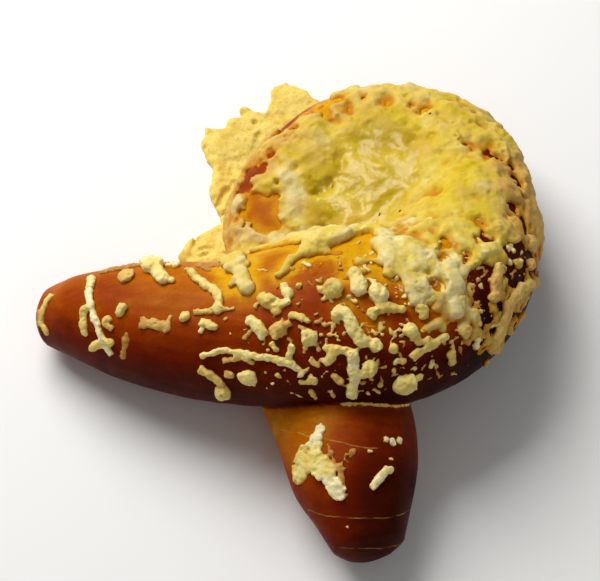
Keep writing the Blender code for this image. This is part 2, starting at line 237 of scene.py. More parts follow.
TAIL_SHREDS = (
    Shred(2.8, 0.0, ((143, 24), (146, 28), (149, 31)), 0.22),
    Shred(5.0, 0.1, ((147, 30), (150, 36), (152, 42)), 0.16),
    Shred(6.6, 0.3, ((150, 41), (152, 51), (153, 62)), 0.1),
    Shred(7.4, 0.25, ((151, 42), (154, 35), (156, 28)), 0.11),
    Shred(5.0, 0.0, ((155, 34), (159, 28), (162, 25)), 0.16),
    Shred(2.6, 0.8, ((153, 62), (155, 68)), 0.16),
    Shred(1.4, 1.0, ((152, 2), (154, 6), (156, 14), (158, 18), (163, 18)), 0.3),
    Shred(1.6, 0.8, ((155, 22), (155, 14), (153, 7)), 0.3),
    Shred(1.2, 1.0, ((148, 26), (151, 22), (155, 20)), 0.3),
    Shred(2.2, 0.1, ((157, -33), (159, -22), (162, -10)), 0.6),
    Shred(1.3, 0.0, ((150, -28), (150, -29))),
    Shred(1.6, 0.0, ((150, -35), (151, -36))),
    Shred(1.5, 0.0, ((149, -43), (150, -44))),
    Shred(1.2, 0.1, ((155, -34), (155, -32))),
    Shred(0.9, 0.1, ((157, -28), (157, -26))),
    Shred(0.9, 0.1, ((153, -14), (153, -13))),
    Shred(0.9, 0.1, ((171, 28), (171, 29))),
    Shred(0.8, 0.1, ((172, 12), (172, 13))),
)
# Cords of cheese along the loop's outer left side, placed along and around the tail
RIM_STRANDS = (
    Shred(3.6, 0.5, ((38, 56), (44, 68), (50, 76), (58, 80), (66, 82), (74, 80)), 0.5),
    Shred(2.6, 0.2, ((52, 52), (54, 64), (56, 74)), 0.7),
    Shred(3.4, 0.1, ((62, 40), (66, 52), (66, 66)), 0.6),
)
FLANK_STRANDS = (
    Shred(3.6, 0.2, ((130, 26), (123, 19), (118, 18), (114, 19))),
    Shred(6.4, 0.1, ((114, 8), (113, 16), (112, 24)), 0.5),
    Shred(4.2, 0.1, ((112, 22), (111, 30), (110, 39))),
    Shred(3.0, 0.0, ((114, 8), (118, 13))),
    Shred(2.8, 0.5, ((133, 49), (126, 44), (122, 44), (120, 48))),
    Shred(2.2, 0.4, ((127, 40), (120, 40), (118, 45))),
    Shred(3.2, 0.6, ((135, 79), (129, 66), (125, 60), (122, 62), (120, 68), (117, 75), (116, 82))),
    Shred(1.8, 0.5, ((124, 50), (127, 57), (130, 62))),
    Shred(3.2, 0.6, ((147, 57), (145, 63), (142, 64), (137, 59), (134, 56))),
    Shred(2.2, 0.5, ((134, 58), (133, 61))),
    Shred(4.5, 0.4, ((140, 30), (137, 38), (133, 34))),
    Shred(4.0, 0.3, ((135, 19), (133, 31))),
    Shred(1.8, 0.4, ((147, 39), (143, 38), (140, 36))),
    Shred(2.0, 0.5, ((148, 49), (143, 48), (139, 50), (134, 51))),
    Shred(1.2, 0.6, ((116, 30), (114, 36))),
    Shred(1.4, 0.8, ((118, 37), (116, 42))),
    Shred(1.2, 0.8, ((117, 30), (121, 38))),
    Shred(1.3, 0.6, ((119, 40), (122, 52))),
    Shred(1.5, 0.7, ((124, 52), (121, 57))),
    Shred(3.0, 0.3, ((114, 42), (113, 52))),
    Shred(3.6, 0.3, ((111, 46), (111, 52))),
    Shred(1.2, 0.4, ((117, 54), (119, 61))),
    Shred(3.0, 0.8, ((121, 74), (121, 82))),
    Shred(1.6, 0.5, ((118, 44), (119, 51), (117, 51))),
    Shred(3.6, 0.1, ((106, 12), (106, 17), (104, 19))),
    Shred(2.0, 0.3, ((107, 21), (109, 22), (109, 28))),
    Shred(2.0, 0.8, ((106, 28), (108, 29))),
    Shred(7.4, 0.1, ((57, -44), (59, -36), (61, -26)), 0.35),
    Shred(4.2, 0.1, ((61, -27), (64, -16), (65, -10)), 0.6),
    Shred(4.4, 0.1, ((65, -9), (66, -1)), 0.75),
    Shred(2.4, 0.4, ((62, -14), (60, -8)), 0.7),
    Shred(3.0, 0.3, ((79, -28), (76, -19), (74, -9)), 0.7),
    Shred(9.0, 0.1, ((89, -48), (85, -42), (82, -35)), 0.4),
    Shred(5.6, 0.1, ((84, -34), (80, -29)), 0.5),
    Shred(8.0, 0.1, ((101, -30), (102, -16), (103, -6)), 0.4),
    Shred(5.6, 0.2, ((103, -6), (104, 4), (104, 14)), 0.6),
    Shred(4.0, 0.1, ((104, 12), (103, 22)), 0.8),
    Shred(7.0, 0.1, ((109, -20), (109, -8), (107, 0)), 0.4),
    Shred(2.6, 0.3, ((92, -16), (97, -14), (101, -10))),
    Shred(2.4, 0.4, ((90, -6), (95, -8))),
)
# Places are mm along the belly and degrees from its crown
FLANK_PITS = (
    Pit(129, 15, 2.0, 2.6),
    Pit(121, 12, 2.6, 2.4),
    Pit(119, -2, 2.2, 2.2),
    Pit(114, 3, 2.2, 2.2),
    Pit(109, 17, 2.4, 3.0),
    Pit(122, 27, 2.2, 3.2),
    Pit(125, 35, 2.0, 3.2),
    Pit(131, 37, 2.0, 3.2),
    Pit(133, 44, 2.2, 3.2),
    Pit(118, 29, 2.2, 3.2),
    Pit(118, 37, 3.0, 3.2),
    Pit(127, 49, 2.8, 3.2),
    Pit(135, 60, 2.4, 3.2),
    Pit(145, 30, 1.7, 3.0),
    Pit(142, 41, 1.5, 3.0),
    Pit(150, 42, 1.4, 2.8),
    Pit(155, 44, 1.3, 2.6),
)
# A negative paler darkens the cheese: in the dips and folds that is painted shade, and elsewhere
# over the pool it darkens towards olive, partly the cheese's own colour and partly painted shade.
SHEET_SPOTS = (
    Spot(29, 59, 3.4, -1.7, 0.0, 0.1),
    Spot(48, 49, 3.4, -1.6, 0.0, 0.2),
    Spot(59, 48, 3.0, -1.6, 0.0, 0.3),
    Spot(13, 61, 3.8, -1.8, 0.0, 0.3),
    Spot(9, 65, 2.4, -2.0, 0.0, 0.4),
    Spot(17, 56, 3.0, -1.7, 0.0, 0.2),
    Spot(12, 52, 3.2, -1.7, 0.0, 0.2),
    Spot(1, 50, 2.2, -2.8, 0.0, 0.3),
    Spot(-1, 45, 1.6, -3.0, 0.0, 0.6),
    Spot(36, 57, 1.8, -1.2, 0.0, 0.2),
    Spot(52, 38, 2.6, -1.5, 0.0, 0.2),
    Spot(58, 36, 2.8, -1.6, 0.0, 0.3),
    Spot(63, 34, 2.4, -1.6, 0.0, 0.3),
    Spot(-9, 20, 4.4, -5.0, 0.0, 0.0),
    Spot(-12, 24, 3.2, -5.0, 0.0, 0.0),
    Spot(-15, 32, 3.0, -4.0, 0.0, 0.4),
    Spot(-13, 37, 3.0, -4.0, 0.0, 0.6),
    Spot(-9, 37, 2.2, -4.0, 0.0, 0.6),
    Spot(-7, 41, 2.2, -4.0, 0.0, 0.6),
    Spot(-17, 19, 1.8, -3.0, 0.0, 0.4),
    Spot(-5, 16, 1.6, -4.0, 0.0, 0.2),
    Spot(-5, 25, 1.5, -4.0, 0.0, 0.2),
    Spot(-14, 17, 1.5, -4.0, 0.0, 0.2),
    Spot(66, 33, 1.5, -2.0, 0.0, 0.4),
    Spot(67, 27, 1.4, -2.0, 0.0, 0.4),
    Spot(67, 20, 1.6, -2.4, 0.0, 0.4),
    Spot(68, 15, 1.6, -2.4, 0.0, 0.4),
    Spot(64, 8, 2.6, -3.0, 0.0, 0.4),
    Spot(8, 41, 8.0, 2.0, -0.12, 0.0),
    Spot(14, 46, 4.0, 0.8, 0.2, 0.0),
    Spot(15, 35, 2.6, -2.2, -0.3, 0.0),
    Spot(11, 31, 2.8, -2.6, -0.3, 0.0),
    Spot(8, 28, 2.4, -2.2, -0.3, 0.0),
    Spot(-3, 31, 4.0, 1.2, 0.5, 0.0),
    Spot(-1, 23, 4.6, 1.6, 0.5, 0.0),
    Spot(2, 15, 4.6, 1.2, 0.45, 0.0),
    Spot(12, 23, 5.0, 1.0, 0.35, 0.0),
    Spot(9, 15, 3.2, -1.2, -0.35, 0.0),
    Spot(13, 18, 3.0, -1.0, -0.35, 0.0),
    Spot(-15, 15, 3.0, 0.8, 0.6, 0.0),
    Spot(-9, 13, 3.6, 0.8, 0.6, 0.0),
    Spot(-4, 9, 3.0, 0.8, 0.4, 0.0),
    Spot(-16, 24, 2.4, 1.6, 0.6, 0.0),
    Spot(-15, 28, 2.0, 1.6, 0.5, 0.0),
    Spot(20, 46, 3.0, 0.9, -0.1, 0.0),
    Spot(24, 40, 2.6, 0.9, 0.2, 0.0),
    Spot(26, 34, 2.6, 0.9, 0.2, 0.0),
    Spot(25, 28, 6.0, -0.4, -0.1, 0.0),
    Spot(34, 44, 6.0, -0.6, -0.4, 0.0),
    Spot(20, 28, 5.0, -0.4, -0.1, 0.0),
    Spot(26, 39, 5.0, -0.6, -0.3, 0.0),
    Spot(48, 19, 5.0, -0.5, -0.25, 0.1),
    Spot(43, 32, 4.0, 0.0, -0.15, 0.0),
    Spot(61, 31, 4.0, 0.0, -0.15, 0.2),
    Spot(42, 12, 7.0, 0.0, -0.25, 0.0),
    Spot(26, 45, 4.0, 0.4, -0.4, 0.0),
    Spot(44, 41, 5.0, 0.0, -0.3, 0.0),
    Spot(50, 29, 5.0, 0.0, -0.3, 0.0),
    Spot(25, 50, 4.5, 0.0, -0.35, 0.0),
    Spot(30, 54, 5.0, 0.0, -0.25, 0.0),
    Spot(8, 5, 3.5, 1.0, 0.2, 0.0),
    Spot(15, 4, 3.5, 1.0, 0.2, 0.0),
    Spot(21, 4, 3.5, 1.0, 0.1, 0.0),
    Spot(8, 56, 3.4, -1.7, 0.0, 0.2),
    Spot(21, 61, 3.0, -1.6, 0.0, 0.1),
    Spot(40, 53, 2.6, -1.5, 0.0, 0.1),
    Spot(54, 20, 7.0, 0.8, 0.1, 0.0),
    Spot(44, 28, 5.0, 0.8, 0.1, 0.0),
    Spot(60, 25, 4.0, 0.8, 0.1, 0.1),
)


def linear(colour: str) -> tuple[float, float, float, float]:
    """Turns an sRGB hex colour to the linear values that sockets take.

    Args:
        colour: Six hex digits after a hash.

    Returns:
        Linear red, green and blue, with an alpha of one.
    """
    channels = [int(colour[i : i + 2], 16) / 255 for i in (1, 3, 5)]
    turned = [c / 12.92 if c <= 0.04045 else ((c + 0.055) / 1.055) ** 2.4 for c in channels]
    return (turned[0], turned[1], turned[2], 1.0)


def per_mm(size: float) -> float:
    """Texture scale on coordinates in metres for a pattern of this size in mm."""
    return 1 / (size * MM)


def ease(share: np.ndarray | float) -> np.ndarray | float:
    """Smooth step from 0 to 1, flat at both ends."""
    share = np.clip(share, 0, 1)
    return share * share * (3 - 2 * share)


def blended(first: np.ndarray, second: np.ndarray, width: float) -> np.ndarray:
    """Union of two distance fields with a fillet.

    Args:
        first: One field in mm.
        second: The other.
        width: How far from their meeting the fillet reaches, in mm.

    Returns:
        The joined field.
    """
    near = np.clip(width - np.abs(first - second), 0, None)
    return np.minimum(first, second) - near * near / (4 * width)


def spline(points: Sequence[Sequence[float]], steps: int) -> list[Vector]:
    """Catmull-Rom spline through every point.

    Args:
        points: The points, of any one dimension.
        steps: Pieces from each point to the next.

    Returns:
        The curve's points, with both ends.
    """
    known = [Vector(point) for point in points]
    known = [2 * known[0] - known[1], *known, 2 * known[-1] - known[-2]]
    curve = []
    for a, b, c, d in zip(known, known[1:], known[2:], known[3:]):
        for step in range(steps):
            t = step / steps
            square = (2 * a - 5 * b + 4 * c - d) * t * t
            cube = (3 * b - a - 3 * c + d) * t**3
            curve.append(b + ((c - a) * t + square + cube) / 2)
    return [*curve, known[-2]]


def from_corners(values: np.ndarray, cell: np.ndarray, share: np.ndarray) -> np.ndarray:
    """Blends a lattice's values at the eight corners round each place.

    Args:
        values: The lattice, which repeats past its sides.
        cell: Index of the corner below each place.
        share: How far past that corner each place is, along each axis.

    Returns:
        One value for each place.
    """
    total = np.zeros(len(cell), dtype=np.float32)
    for corner in range(8):
        bits = corner >> np.arange(3) & 1
        weight = np.prod(np.where(bits, share, 1 - share), axis=1)
        index = (cell + bits) % values.shape
        total += weight * values[index[:, 0], index[:, 1], index[:, 2]]
    return total


class Lumps:
    """Smooth random noise on a lattice, the same each run."""

    SIDE = 32

    def __init__(self, seed: int) -> None:
        """Draws the lattice.

        Args:
            seed: Picks the lattice and how it is turned.
        """
        draw = np.random.default_rng(seed)
        self.lattice = draw.uniform(-1, 1, (self.SIDE,) * 3).astype(np.float32)
        self.turn = np.array(Matrix.Rotation(0.6 + seed, 3, Vector((1, 2, 3)).normalized()))

    def at(self, points: np.ndarray, size: float) -> np.ndarray:
        """Noise between -1 and 1.

        Args:
            points: Places in mm, one a row.
            size: Distance between lattice points in mm.

        Returns:
            One value for each row.
        """
        place = points @ self.turn.T / size
        cell = np.floor(place).astype(np.int64)
        return from_corners(self.lattice, cell, ease(place - cell))

    def rough(self, points: np.ndarray, size: float, octaves: int = 3) -> np.ndarray:
        """Noise with finer noise added, each octave half the size and height of the last.

        Args:
            points: Places in mm, one a row.
            size: The coarsest octave's lattice distance in mm.
            octaves: How many are added.

        Returns:
            One value for each row.
        """
        total = np.zeros(len(points), dtype=np.float32)
        for octave in range(octaves):
            total += self.at(points + 7.3 * octave, size / 2**octave) / 2**octave
        return total


@dataclass
class Block:
    """A box of space cut into cubes, which distance fields are sampled on."""

    # Rounding of a rod's edge where it is cut off square, in mm
    END_ROUNDING: ClassVar[float] = 0.7
    low: tuple[float, float, float]
    high: tuple[float, float, float]
    step: float
    first: np.ndarray = field(init=False)
    shape: tuple[int, int, int] = field(init=False)

    def __post_init__(self) -> None:
        """Counts the cubes on each side."""
        self.first = np.floor(np.array(self.low) / self.step).astype(int)
        last = np.ceil(np.array(self.high) / self.step).astype(int)
        self.shape = tuple(int(n) for n in last - self.first + 1)

    def full(self, value: float) -> np.ndarray:
        """A field that holds one value everywhere."""
        return np.full(self.shape, value, dtype=np.float32)

    def axis(self, which: int) -> np.ndarray:
        """Sample places along X, Y or Z, in mm."""
        return (np.arange(self.shape[which]) + self.first[which]) * self.step

    def places(self, chosen: np.ndarray | None = None) -> np.ndarray:
        """Places of the chosen samples, or of them all, in mm, one a row."""
        chosen = np.ones(self.shape, dtype=bool) if chosen is None else chosen
        return ((np.argwhere(chosen) + self.first) * self.step).astype(np.float32)

    def distance_to(self, vertices: np.ndarray, faces: np.ndarray, reach: float) -> np.ndarray:
        """Signed distance to a closed mesh, exact within its reach.

        Args:
            vertices: The mesh's points in mm.
            faces: Its quads or triangles.
            reach: Distance in mm past which the field stays level.

        Returns:
            The field, negative inside.
        """
        transform = openvdb.createLinearTransform(voxelSize=self.step)
        triangles = np.concatenate([faces[:, [0, 1, 2]], faces[:, [0, 2, 3]]])
        grid = openvdb.FloatGrid.createLevelSetFromPolygons(
            vertices.astype(np.float32),
            triangles=triangles.astype(np.uint32),
            transform=transform,
            halfWidth=reach / self.step,
        )
        values = self.full(reach)
        grid.copyToArray(values, ijk=tuple(int(i) for i in self.first))
        return values

    def window(
        self, low: np.ndarray, high: np.ndarray
    ) -> tuple[tuple[slice, ...], list[np.ndarray]] | None:
        """The samples in a box.

        Args:
            low: The box's least corner in mm.
            high: Its greatest corner.

        Returns:
            Slices of a field, and the samples' X, Y and Z shaped to be combined, or None where
            the box misses the block.
        """
        first = np.maximum(np.floor(low / self.step).astype(int) - self.first, 0)
        last = np.minimum(np.ceil(high / self.step).astype(int) - self.first + 1, self.shape)
        if np.any(last <= first):
            return None
        slices = tuple(slice(a, b) for a, b in zip(first, last))
        x, y, z = (self.axis(i)[slices[i]] for i in range(3))
        return slices, [x[:, None, None], y[None, :, None], z[None, None, :]]

    def stamp(
        self,
        values: np.ndarray,
        ends: tuple[Vector, Vector],
        radii: tuple[float, float],
        fillet: float,
        marks: Sequence[tuple[np.ndarray, float]],
        cut: tuple[bool, bool] = (False, False),
    ) -> None:
        """Joins a rod onto a field.

        Args:
            values: The field, which changes.
            ends: The rod's ends in mm.
            radii: Its radius at each end.
            fillet: Width of the fillet where it meets what is there.
            marks: Fields that keep a value of the nearest rod, each with this rod's value.
            cut: Whether each end is cut off square instead of rounded.
        """
        start, end = np.array(ends[0]), np.array(ends[1])
        margin = max(radii) + fillet + 2 * self.step
        found = self.window(np.minimum(start, end) - margin, np.maximum(start, end) + margin)
        if found is None:
            return
        slices, places = found
        run = end - start
        length = max(math.sqrt(run @ run), 1e-3)
        from_start = [place - middle for place, middle in zip(places, start)]
        share = sum(gap * part for gap, part in zip(from_start, run)) / length**2
        held = np.clip(share, -9 if cut[0] else 0, 10 if cut[1] else 1)
        away = sum((gap - held * part) ** 2 for gap, part in zip(from_start, run))
        rod = np.sqrt(away) - (radii[0] + np.clip(share, 0, 1) * (radii[1] - radii[0]))
        past = np.maximum(-share if cut[0] else -9, share - 1 if cut[1] else -9) * length
        rod = -blended(-rod, -past, self.END_ROUNDING)
        here = values[slices]
        for kept, mark in marks:
            kept[slices] = np.where(rod < here, mark, kept[slices])
        values[slices] = blended(here, rod.astype(np.float32), fillet)

    def swell(
        self, values: np.ndarray, centre: Vector, radius: float, rise: float, lumps: Lumps
    ) -> None:
        """Adds an uneven round hump to a field.

        Args:
            values: The field, which changes.
            centre: The hump's middle in mm.
            radius: Where it has fallen to about a third.
            rise: What it adds in the middle.
            lumps: Noise that makes its outline uneven.
        """
        middle = np.array(centre)
        found = self.window(middle - 2.6 * radius, middle + 2.6 * radius)
        if found is not None:
            slices, places = found
            x, y, z = np.broadcast_arrays(*places)
            uneven = lumps.rough(np.stack([x.ravel(), y.ravel(), z.ravel()], axis=1), radius, 2)
            away = sum((place - own) ** 2 for place, own in zip(places, middle))
            away = away * (1 + 0.45 * uneven.reshape(x.shape)) ** 2
            values[slices] += rise * np.exp(-away / radius**2)

    def surface(self, values: np.ndarray, level: float = 0.0) -> tuple[np.ndarray, np.ndarray]:
        """The field's surface as a closed mesh of quads.

        Args:
            values: The field.
            level: The value that the surface follows.

        Returns:
            Points in mm and faces.
        """
        band = 3 * self.step
        grid = openvdb.FloatGrid(background=band)
        grid.transform = openvdb.createLinearTransform(voxelSize=self.step)
        trimmed = np.clip(values, -band, band)
        for axis in range(3):
            np.moveaxis(trimmed, axis, 0)[[0, -1]] = band
        grid.copyFromArray(trimmed, ijk=tuple(int(i) for i in self.first))
        points, quads = grid.convertToQuads(isovalue=level)
        return points, quads

    def sample(self, values: np.ndarray, points: np.ndarray) -> np.ndarray:
        """A field's value at each point, between the nearest samples.

        Args:
            values: The field.
            points: Places in mm, one a row.

        Returns:
            One value for each row.
        """
        place = np.clip(points / self.step - self.first, 0, np.array(self.shape) - 1.001)
        cell = np.floor(place).astype(int)
        return from_corners(values, cell, place - cell)


def new_object(name: str, data: bpy.types.ID) -> bpy.types.Object:
    """Makes an object and puts it in the scene.

    Args:
        name: The object's name.
        data: Its mesh, light or camera.

    Returns:
        The object.
    """
    made = bpy.data.objects.new(name, data)
    bpy.context.scene.collection.objects.link(made)
    return made


def mesh_object(
    name: str, points: np.ndarray, faces: np.ndarray, **shades: np.ndarray
) -> bpy.types.Object:
    """Makes a smooth-shaded object.

    Args:
        name: The piece's name.
        points: Its points in mm.
        faces: Its quads.
        **shades: A value for each point, kept as attributes of these names.

    Returns:
        The object, in the scene.
    """
    mesh = bpy.data.meshes.new(name)
    mesh.vertices.add(len(points))
    mesh.vertices.foreach_set("co", (points * MM).astype(np.float32).ravel())
    mesh.loops.add(faces.size)
    mesh.loops.foreach_set("vertex_index", faces.astype(np.int32).ravel())
    mesh.polygons.add(len(faces))
    starts = np.arange(0, faces.size, faces.shape[1], dtype=np.int32)
    mesh.polygons.foreach_set("loop_start", starts)
    mesh.update(calc_edges=True)
    for shade, values in shades.items():
        attribute = mesh.attributes.new(shade, "FLOAT", "POINT")
        attribute.data.foreach_set("value", values.astype(np.float32))
    mesh.shade_smooth()
    return new_object(name, mesh)


def mesh_arrays(mesh: bpy.types.Mesh) -> tuple[np.ndarray, np.ndarray, np.ndarray]:
    """Reads a mesh that has only quads.

    Args:
        mesh: The mesh.

    Returns:
        Its points in mm, its quads and its point normals.
    """
    points = np.empty(len(mesh.vertices) * 3, dtype=np.float32)
    mesh.vertices.foreach_get("co", points)
    faces = np.empty(len(mesh.loops), dtype=np.int32)
    mesh.loops.foreach_get("vertex_index", faces)
    normals = np.empty(len(mesh.vertices) * 3, dtype=np.float32)
    mesh.vertices.foreach_get("normal", normals)
    return points.reshape(-1, 3) / MM, faces.reshape(-1, 4), normals.reshape(-1, 3)


class Skin:
    """A surface that shreds are laid on."""

    def __init__(self, points: np.ndarray, faces: np.ndarray) -> None:
        """Builds the search tree.

        Args:
            points: The surface's points in mm.
            faces: Its quads.
        """
        self.tree = BVHTree.FromPolygons(points.tolist(), faces.tolist())

    def nearest(self, point: Vector) -> tuple[Vector, Vector]:
        """Finds the closest place on the surface.

        Args:
            point: A point in mm.

        Returns:
            The place and the outward direction there.
        """
        place, normal, _, _ = self.tree.find_nearest(point)
        return place, normal

    def seen_from(self, start: Vector, direction: Vector) -> tuple[Vector, Vector] | None:
        """Finds where a ray first meets the surface.

        Args:
            start: The ray's start in mm.
            direction: Its direction.

        Returns:
            The place and the outward direction there, or None where it misses.
        """
        place, normal, _, _ = self.tree.ray_cast(start, direction)
        return None if place is None else (place, normal)


class Rope:
    """A dough rope through its stations, with a frame and a length along at each section."""

    STEPS = 8
    SIDES = 32
    TIP_SHARES = (0.97, 0.85, 0.55)
    TIP_LENGTH = 0.75
    # Rays start this many times as far from the middle line as the skin is
    RAY_START = 2.5

    def __init__(self, stations: Sequence[Station]) -> None:
        """Works out the sections.

        Args:
            stations: The named sections, from the rope's start to its end.
        """
        self.sections = spline(stations, self.STEPS)
        centres = [Vector(section[:3]) for section in self.sections]
        self.along = [0.0]
        for before, after in zip(centres, centres[1:]):
            self.along.append(self.along[-1] + (after - before).length)
        self.frames = []
        for i, centre in enumerate(centres):
            ahead, behind = centres[min(i + 1, len(centres) - 1)], centres[max(i - 1, 0)]
            forward = (ahead - behind).normalized()
            side = Vector((0, 0, 1)).cross(forward).normalized()
            self.frames.append((centre, forward, side, forward.cross(side)))

    def nearest_section(self, along: float) -> int:
        """Index of the section closest to a length along the rope."""
        return min(range(len(self.along)), key=lambda i: abs(self.along[i] - along))

    def ray(self, along: float, around: float) -> tuple[Vector, Vector]:
        """A ray from well outside the rope to its middle.

        Args:
            along: Millimetres from the rope's start.
            around: Degrees from the crown.

        Returns:
            The ray's start in mm and its direction.
        """
        index = self.nearest_section(along)
        _, _, side, up = self.frames[index]
        half_width, half_height = self.sections[index][3:]
        angle = math.radians(90 + around)
        arm = side * half_width * math.cos(angle) + up * half_height * math.sin(angle)
        return self.centre_at(along) + arm * self.RAY_START, -arm.normalized()

    def surface_point(self, along: float, around: float) -> Vector:
        """Point on the rope's own skin.

        Args:
            along: Millimetres from the rope's start.
            around: Degrees from the crown.

        Returns:
            The point in mm.
        """
        start, inward = self.ray(along, around)
        reach = (start - self.centre_at(along)).length
        return start + inward * reach * (1 - 1 / self.RAY_START)

    def centre_at(self, along: float) -> Vector:
        """Point on the rope's middle line.

        Args:
            along: Millimetres from the rope's start.

        Returns:
            The point in mm.
        """
        index = self.nearest_section(along)
        centre, forward, _, _ = self.frames[index]
        return centre + forward * (along - self.along[index])

    def loft(self) -> tuple[np.ndarray, np.ndarray]:
        """The rope's closed skin, with both ends drawn in to a rounded tip.

        Returns:
            Points in mm and quads.
        """
        turns = [math.tau * i / self.SIDES for i in range(self.SIDES)]
        last = len(self.sections) - 1
        rings = []
        for index, (centre, forward, side, up) in enumerate(self.frames):
            half_width, half_height = self.sections[index][3:]
            ends = [(0.0, 0.0)]
            if index == 0:
                ends = [(-share, share) for share in self.TIP_SHARES] + ends
            if index == last:
                ends = ends + [(share, share) for share in reversed(self.TIP_SHARES)]
            for reach, share in ends:
                shrink = math.sqrt(1 - share * share)
                middle = centre + forward * reach * self.TIP_LENGTH * half_width
                for turn in turns:
                    out = side * half_width * math.cos(turn) + up * half_height * math.sin(turn)
                    rings.append(middle + out * shrink)
        points = np.array(rings)
        sides, faces = self.SIDES, []
        for ring in range(0, len(points) - sides, sides):
            for i in range(sides):
                j = (i + 1) % sides
                faces.append((ring + j, ring + i, ring + sides + i, ring + sides + j))
        final = len(points) - sides
        for i in range(sides // 2 - 1):
            strip = (i, i + 1, sides - 2 - i, sides - 1 - i)
            faces.append(strip)
            faces.append(tuple(final + k for k in reversed(strip)))
        return points, np.array(faces)


@dataclass(frozen=True)
class Ball:
    """A squashed ball, tilted up towards +X by its rise in degrees."""

    centre: tuple[float, float, float]
    radii: tuple[float, float, float]
    rise: float

    def distance(self, points: np.ndarray) -> np.ndarray:
        """Roughly how far each point is from the surface.

        Args:
            points: Places in mm, one a row.

        Returns:
            Distances in mm, negative inside.
        """
        tilt = np.array(Matrix.Rotation(math.radians(self.rise), 3, "Y"))
        local = (points - np.array(self.centre)) @ tilt.T / np.array(self.radii)
        size = np.linalg.norm(local, axis=-1)
        slope = np.linalg.norm(local / np.array(self.radii), axis=-1)
        return (size * (size - 1) / (slope + 1e-6)).astype(np.float32)


@dataclass
class ShredLayer:
    """Shreds laid on a surface, as a distance field with fields of the nearest one's traits.

    A shred's radius, its lift off the surface and its chips' sizes are shares of its width.
    """

    RADIUS: ClassVar[float] = 0.46
    LIFT: ClassVar[float] = 0.14
    SLOW_CHANGE: ClassVar[tuple[float, float]] = (0.8, 1.14)
    QUICK_CHANGE: ClassVar[tuple[float, float]] = (0.93, 1.07)
    FILLET: ClassVar[float] = 0.6
    # Share of a shred's steps that a chip stands out from, and the width in mm that has any
    CHIP_SHARE: ClassVar[float] = 0.28
    CHIPPED_WIDTH: ClassVar[float] = 1.5
    CHIP_REACH: ClassVar[tuple[float, float]] = (0.4, 0.85)
    CHIP_RADIUS: ClassVar[tuple[float, float]] = (0.12, 0.26)
    CHIP_HEIGHT: ClassVar[float] = 0.6
    CHIP_TOAST: ClassVar[float] = 0.15
    CHIP_FILLET: ClassVar[float] = 0.4
    block: Block
    skin: Skin
    reach: float
    toast: float
    distance: np.ndarray = field(init=False)
    toasts: np.ndarray = field(init=False)
    heights: np.ndarray = field(init=False)

    def __post_init__(self) -> None:
        """Starts with nothing laid."""
        self.distance = self.block.full(self.reach)
        self.toasts, self.heights = self.block.full(self.toast), self.block.full(1)

    def add(
        self,
        ends: tuple[Vector, Vector],
        radii: tuple[float, float],
        fillet: float,
        toast: float,
        height: float,
        cut: tuple[bool, bool] = (False, False),
    ) -> None:
        """Adds a rod of cheese.

        Args:
            ends: The rod's ends in mm.
            radii: Its radius at each end.
            fillet: Width of the fillet where it meets what is there.
            toast: How toasted it is.
            height: How high it may stand, in mm.
            cut: Whether each end is cut off square instead of rounded.
        """
        marks = ((self.toasts, toast), (self.heights, height))
        self.block.stamp(self.distance, ends, radii, fillet, marks, cut)

    def lay(self, rope: Rope, shred: Shred, draw: np.random.Generator) -> None:
        """Lays one shred along its path on the surface, with small chips beside it.

        Args:
            rope: The rope that its path follows.
            shred: The shred.
            draw: Random draws for its uneven thickness.
        """
        points = []
        for along, around, _ in spline([(*place, 0) for place in shred.path], 4):
            hit = self.skin.seen_from(*rope.ray(along, around))
            if hit is not None:
                points.append(hit[0] + hit[1] * shred.width * self.LIFT)
        count = len(points)
        known = draw.uniform(*self.SLOW_CHANGE, len(shred.path) + 1)
        uneven = np.interp(np.linspace(0, 1, count), np.linspace(0, 1, len(known)), known)
        uneven *= self.RADIUS * shred.width * draw.uniform(*self.QUICK_CHANGE, count)
        height, toast = shred.width * shred.plump, shred.toast
        for i in range(count - 1):
            ends, radii = (points[i], points[i + 1]), (uneven[i], uneven[i + 1])
            self.add(ends, radii, self.FILLET, toast, height, (i == 0, i == count - 2))
        height, toast = height * self.CHIP_HEIGHT, toast + self.CHIP_TOAST
        for i in range(count - 1):
            if shred.width < self.CHIPPED_WIDTH or draw.random() > self.CHIP_SHARE:
                continue
            place = points[i].lerp(points[i + 1], draw.random())
            heading = Vector(draw.normal(0, 1, 3)).normalized()
            reach = heading * shred.width * draw.uniform(*self.CHIP_REACH)
            landing, normal = self.skin.nearest(place + reach)
            radius = shred.width * draw.uniform(*self.CHIP_RADIUS)
            ends = (place, landing + normal * radius * 0.4)
            self.add(ends, (radius * 1.2, radius), self.CHIP_FILLET, toast, height, (False, True))


def fill(tree: bpy.types.NodeTree, node: bpy.types.Node, inputs: dict[str | int, Any]) -> None:
    """Sets a node's inputs, or links those whose value is another node's output.

    Args:
        tree: The material's node tree.
        node: The node.
        inputs: A value or an output for each named or numbered input.
    """
    for name, value in inputs.items():
        socket = node.inputs[name]
        if isinstance(value, bpy.types.NodeSocket):
            tree.links.new(value, socket)
        else:
            socket.default_value = value


def add_node(
    tree: bpy.types.NodeTree,
    kind: str,
    inputs: dict[str | int, Any] | None = None,
    out: str | int = 0,
    stops: Sequence[tuple[float, str]] = (),
    **settings: Any,
) -> bpy.types.NodeSocket:
    """Adds a shader node with its settings and links.

    Args:
        tree: The material's node tree.
        kind: The node's type, less the words that every type starts with.
        inputs: A value or another node's output for each named or numbered input.
        out: Which output is wanted.
        stops: Places and hex colours of a colour ramp.
        **settings: The node's own properties.

    Returns:
        The wanted output.
    """
    node = tree.nodes.new("ShaderNode" + kind)
    for name, value in settings.items():
        setattr(node, name, value)
    for place, _ in stops[2:]:
        node.color_ramp.elements.new(place)
    for element, (place, colour) in zip(node.color_ramp.elements if stops else (), stops):
        element.position, element.color = place, linear(colour)
    fill(tree, node, inputs or {})
    return node.outputs[out]


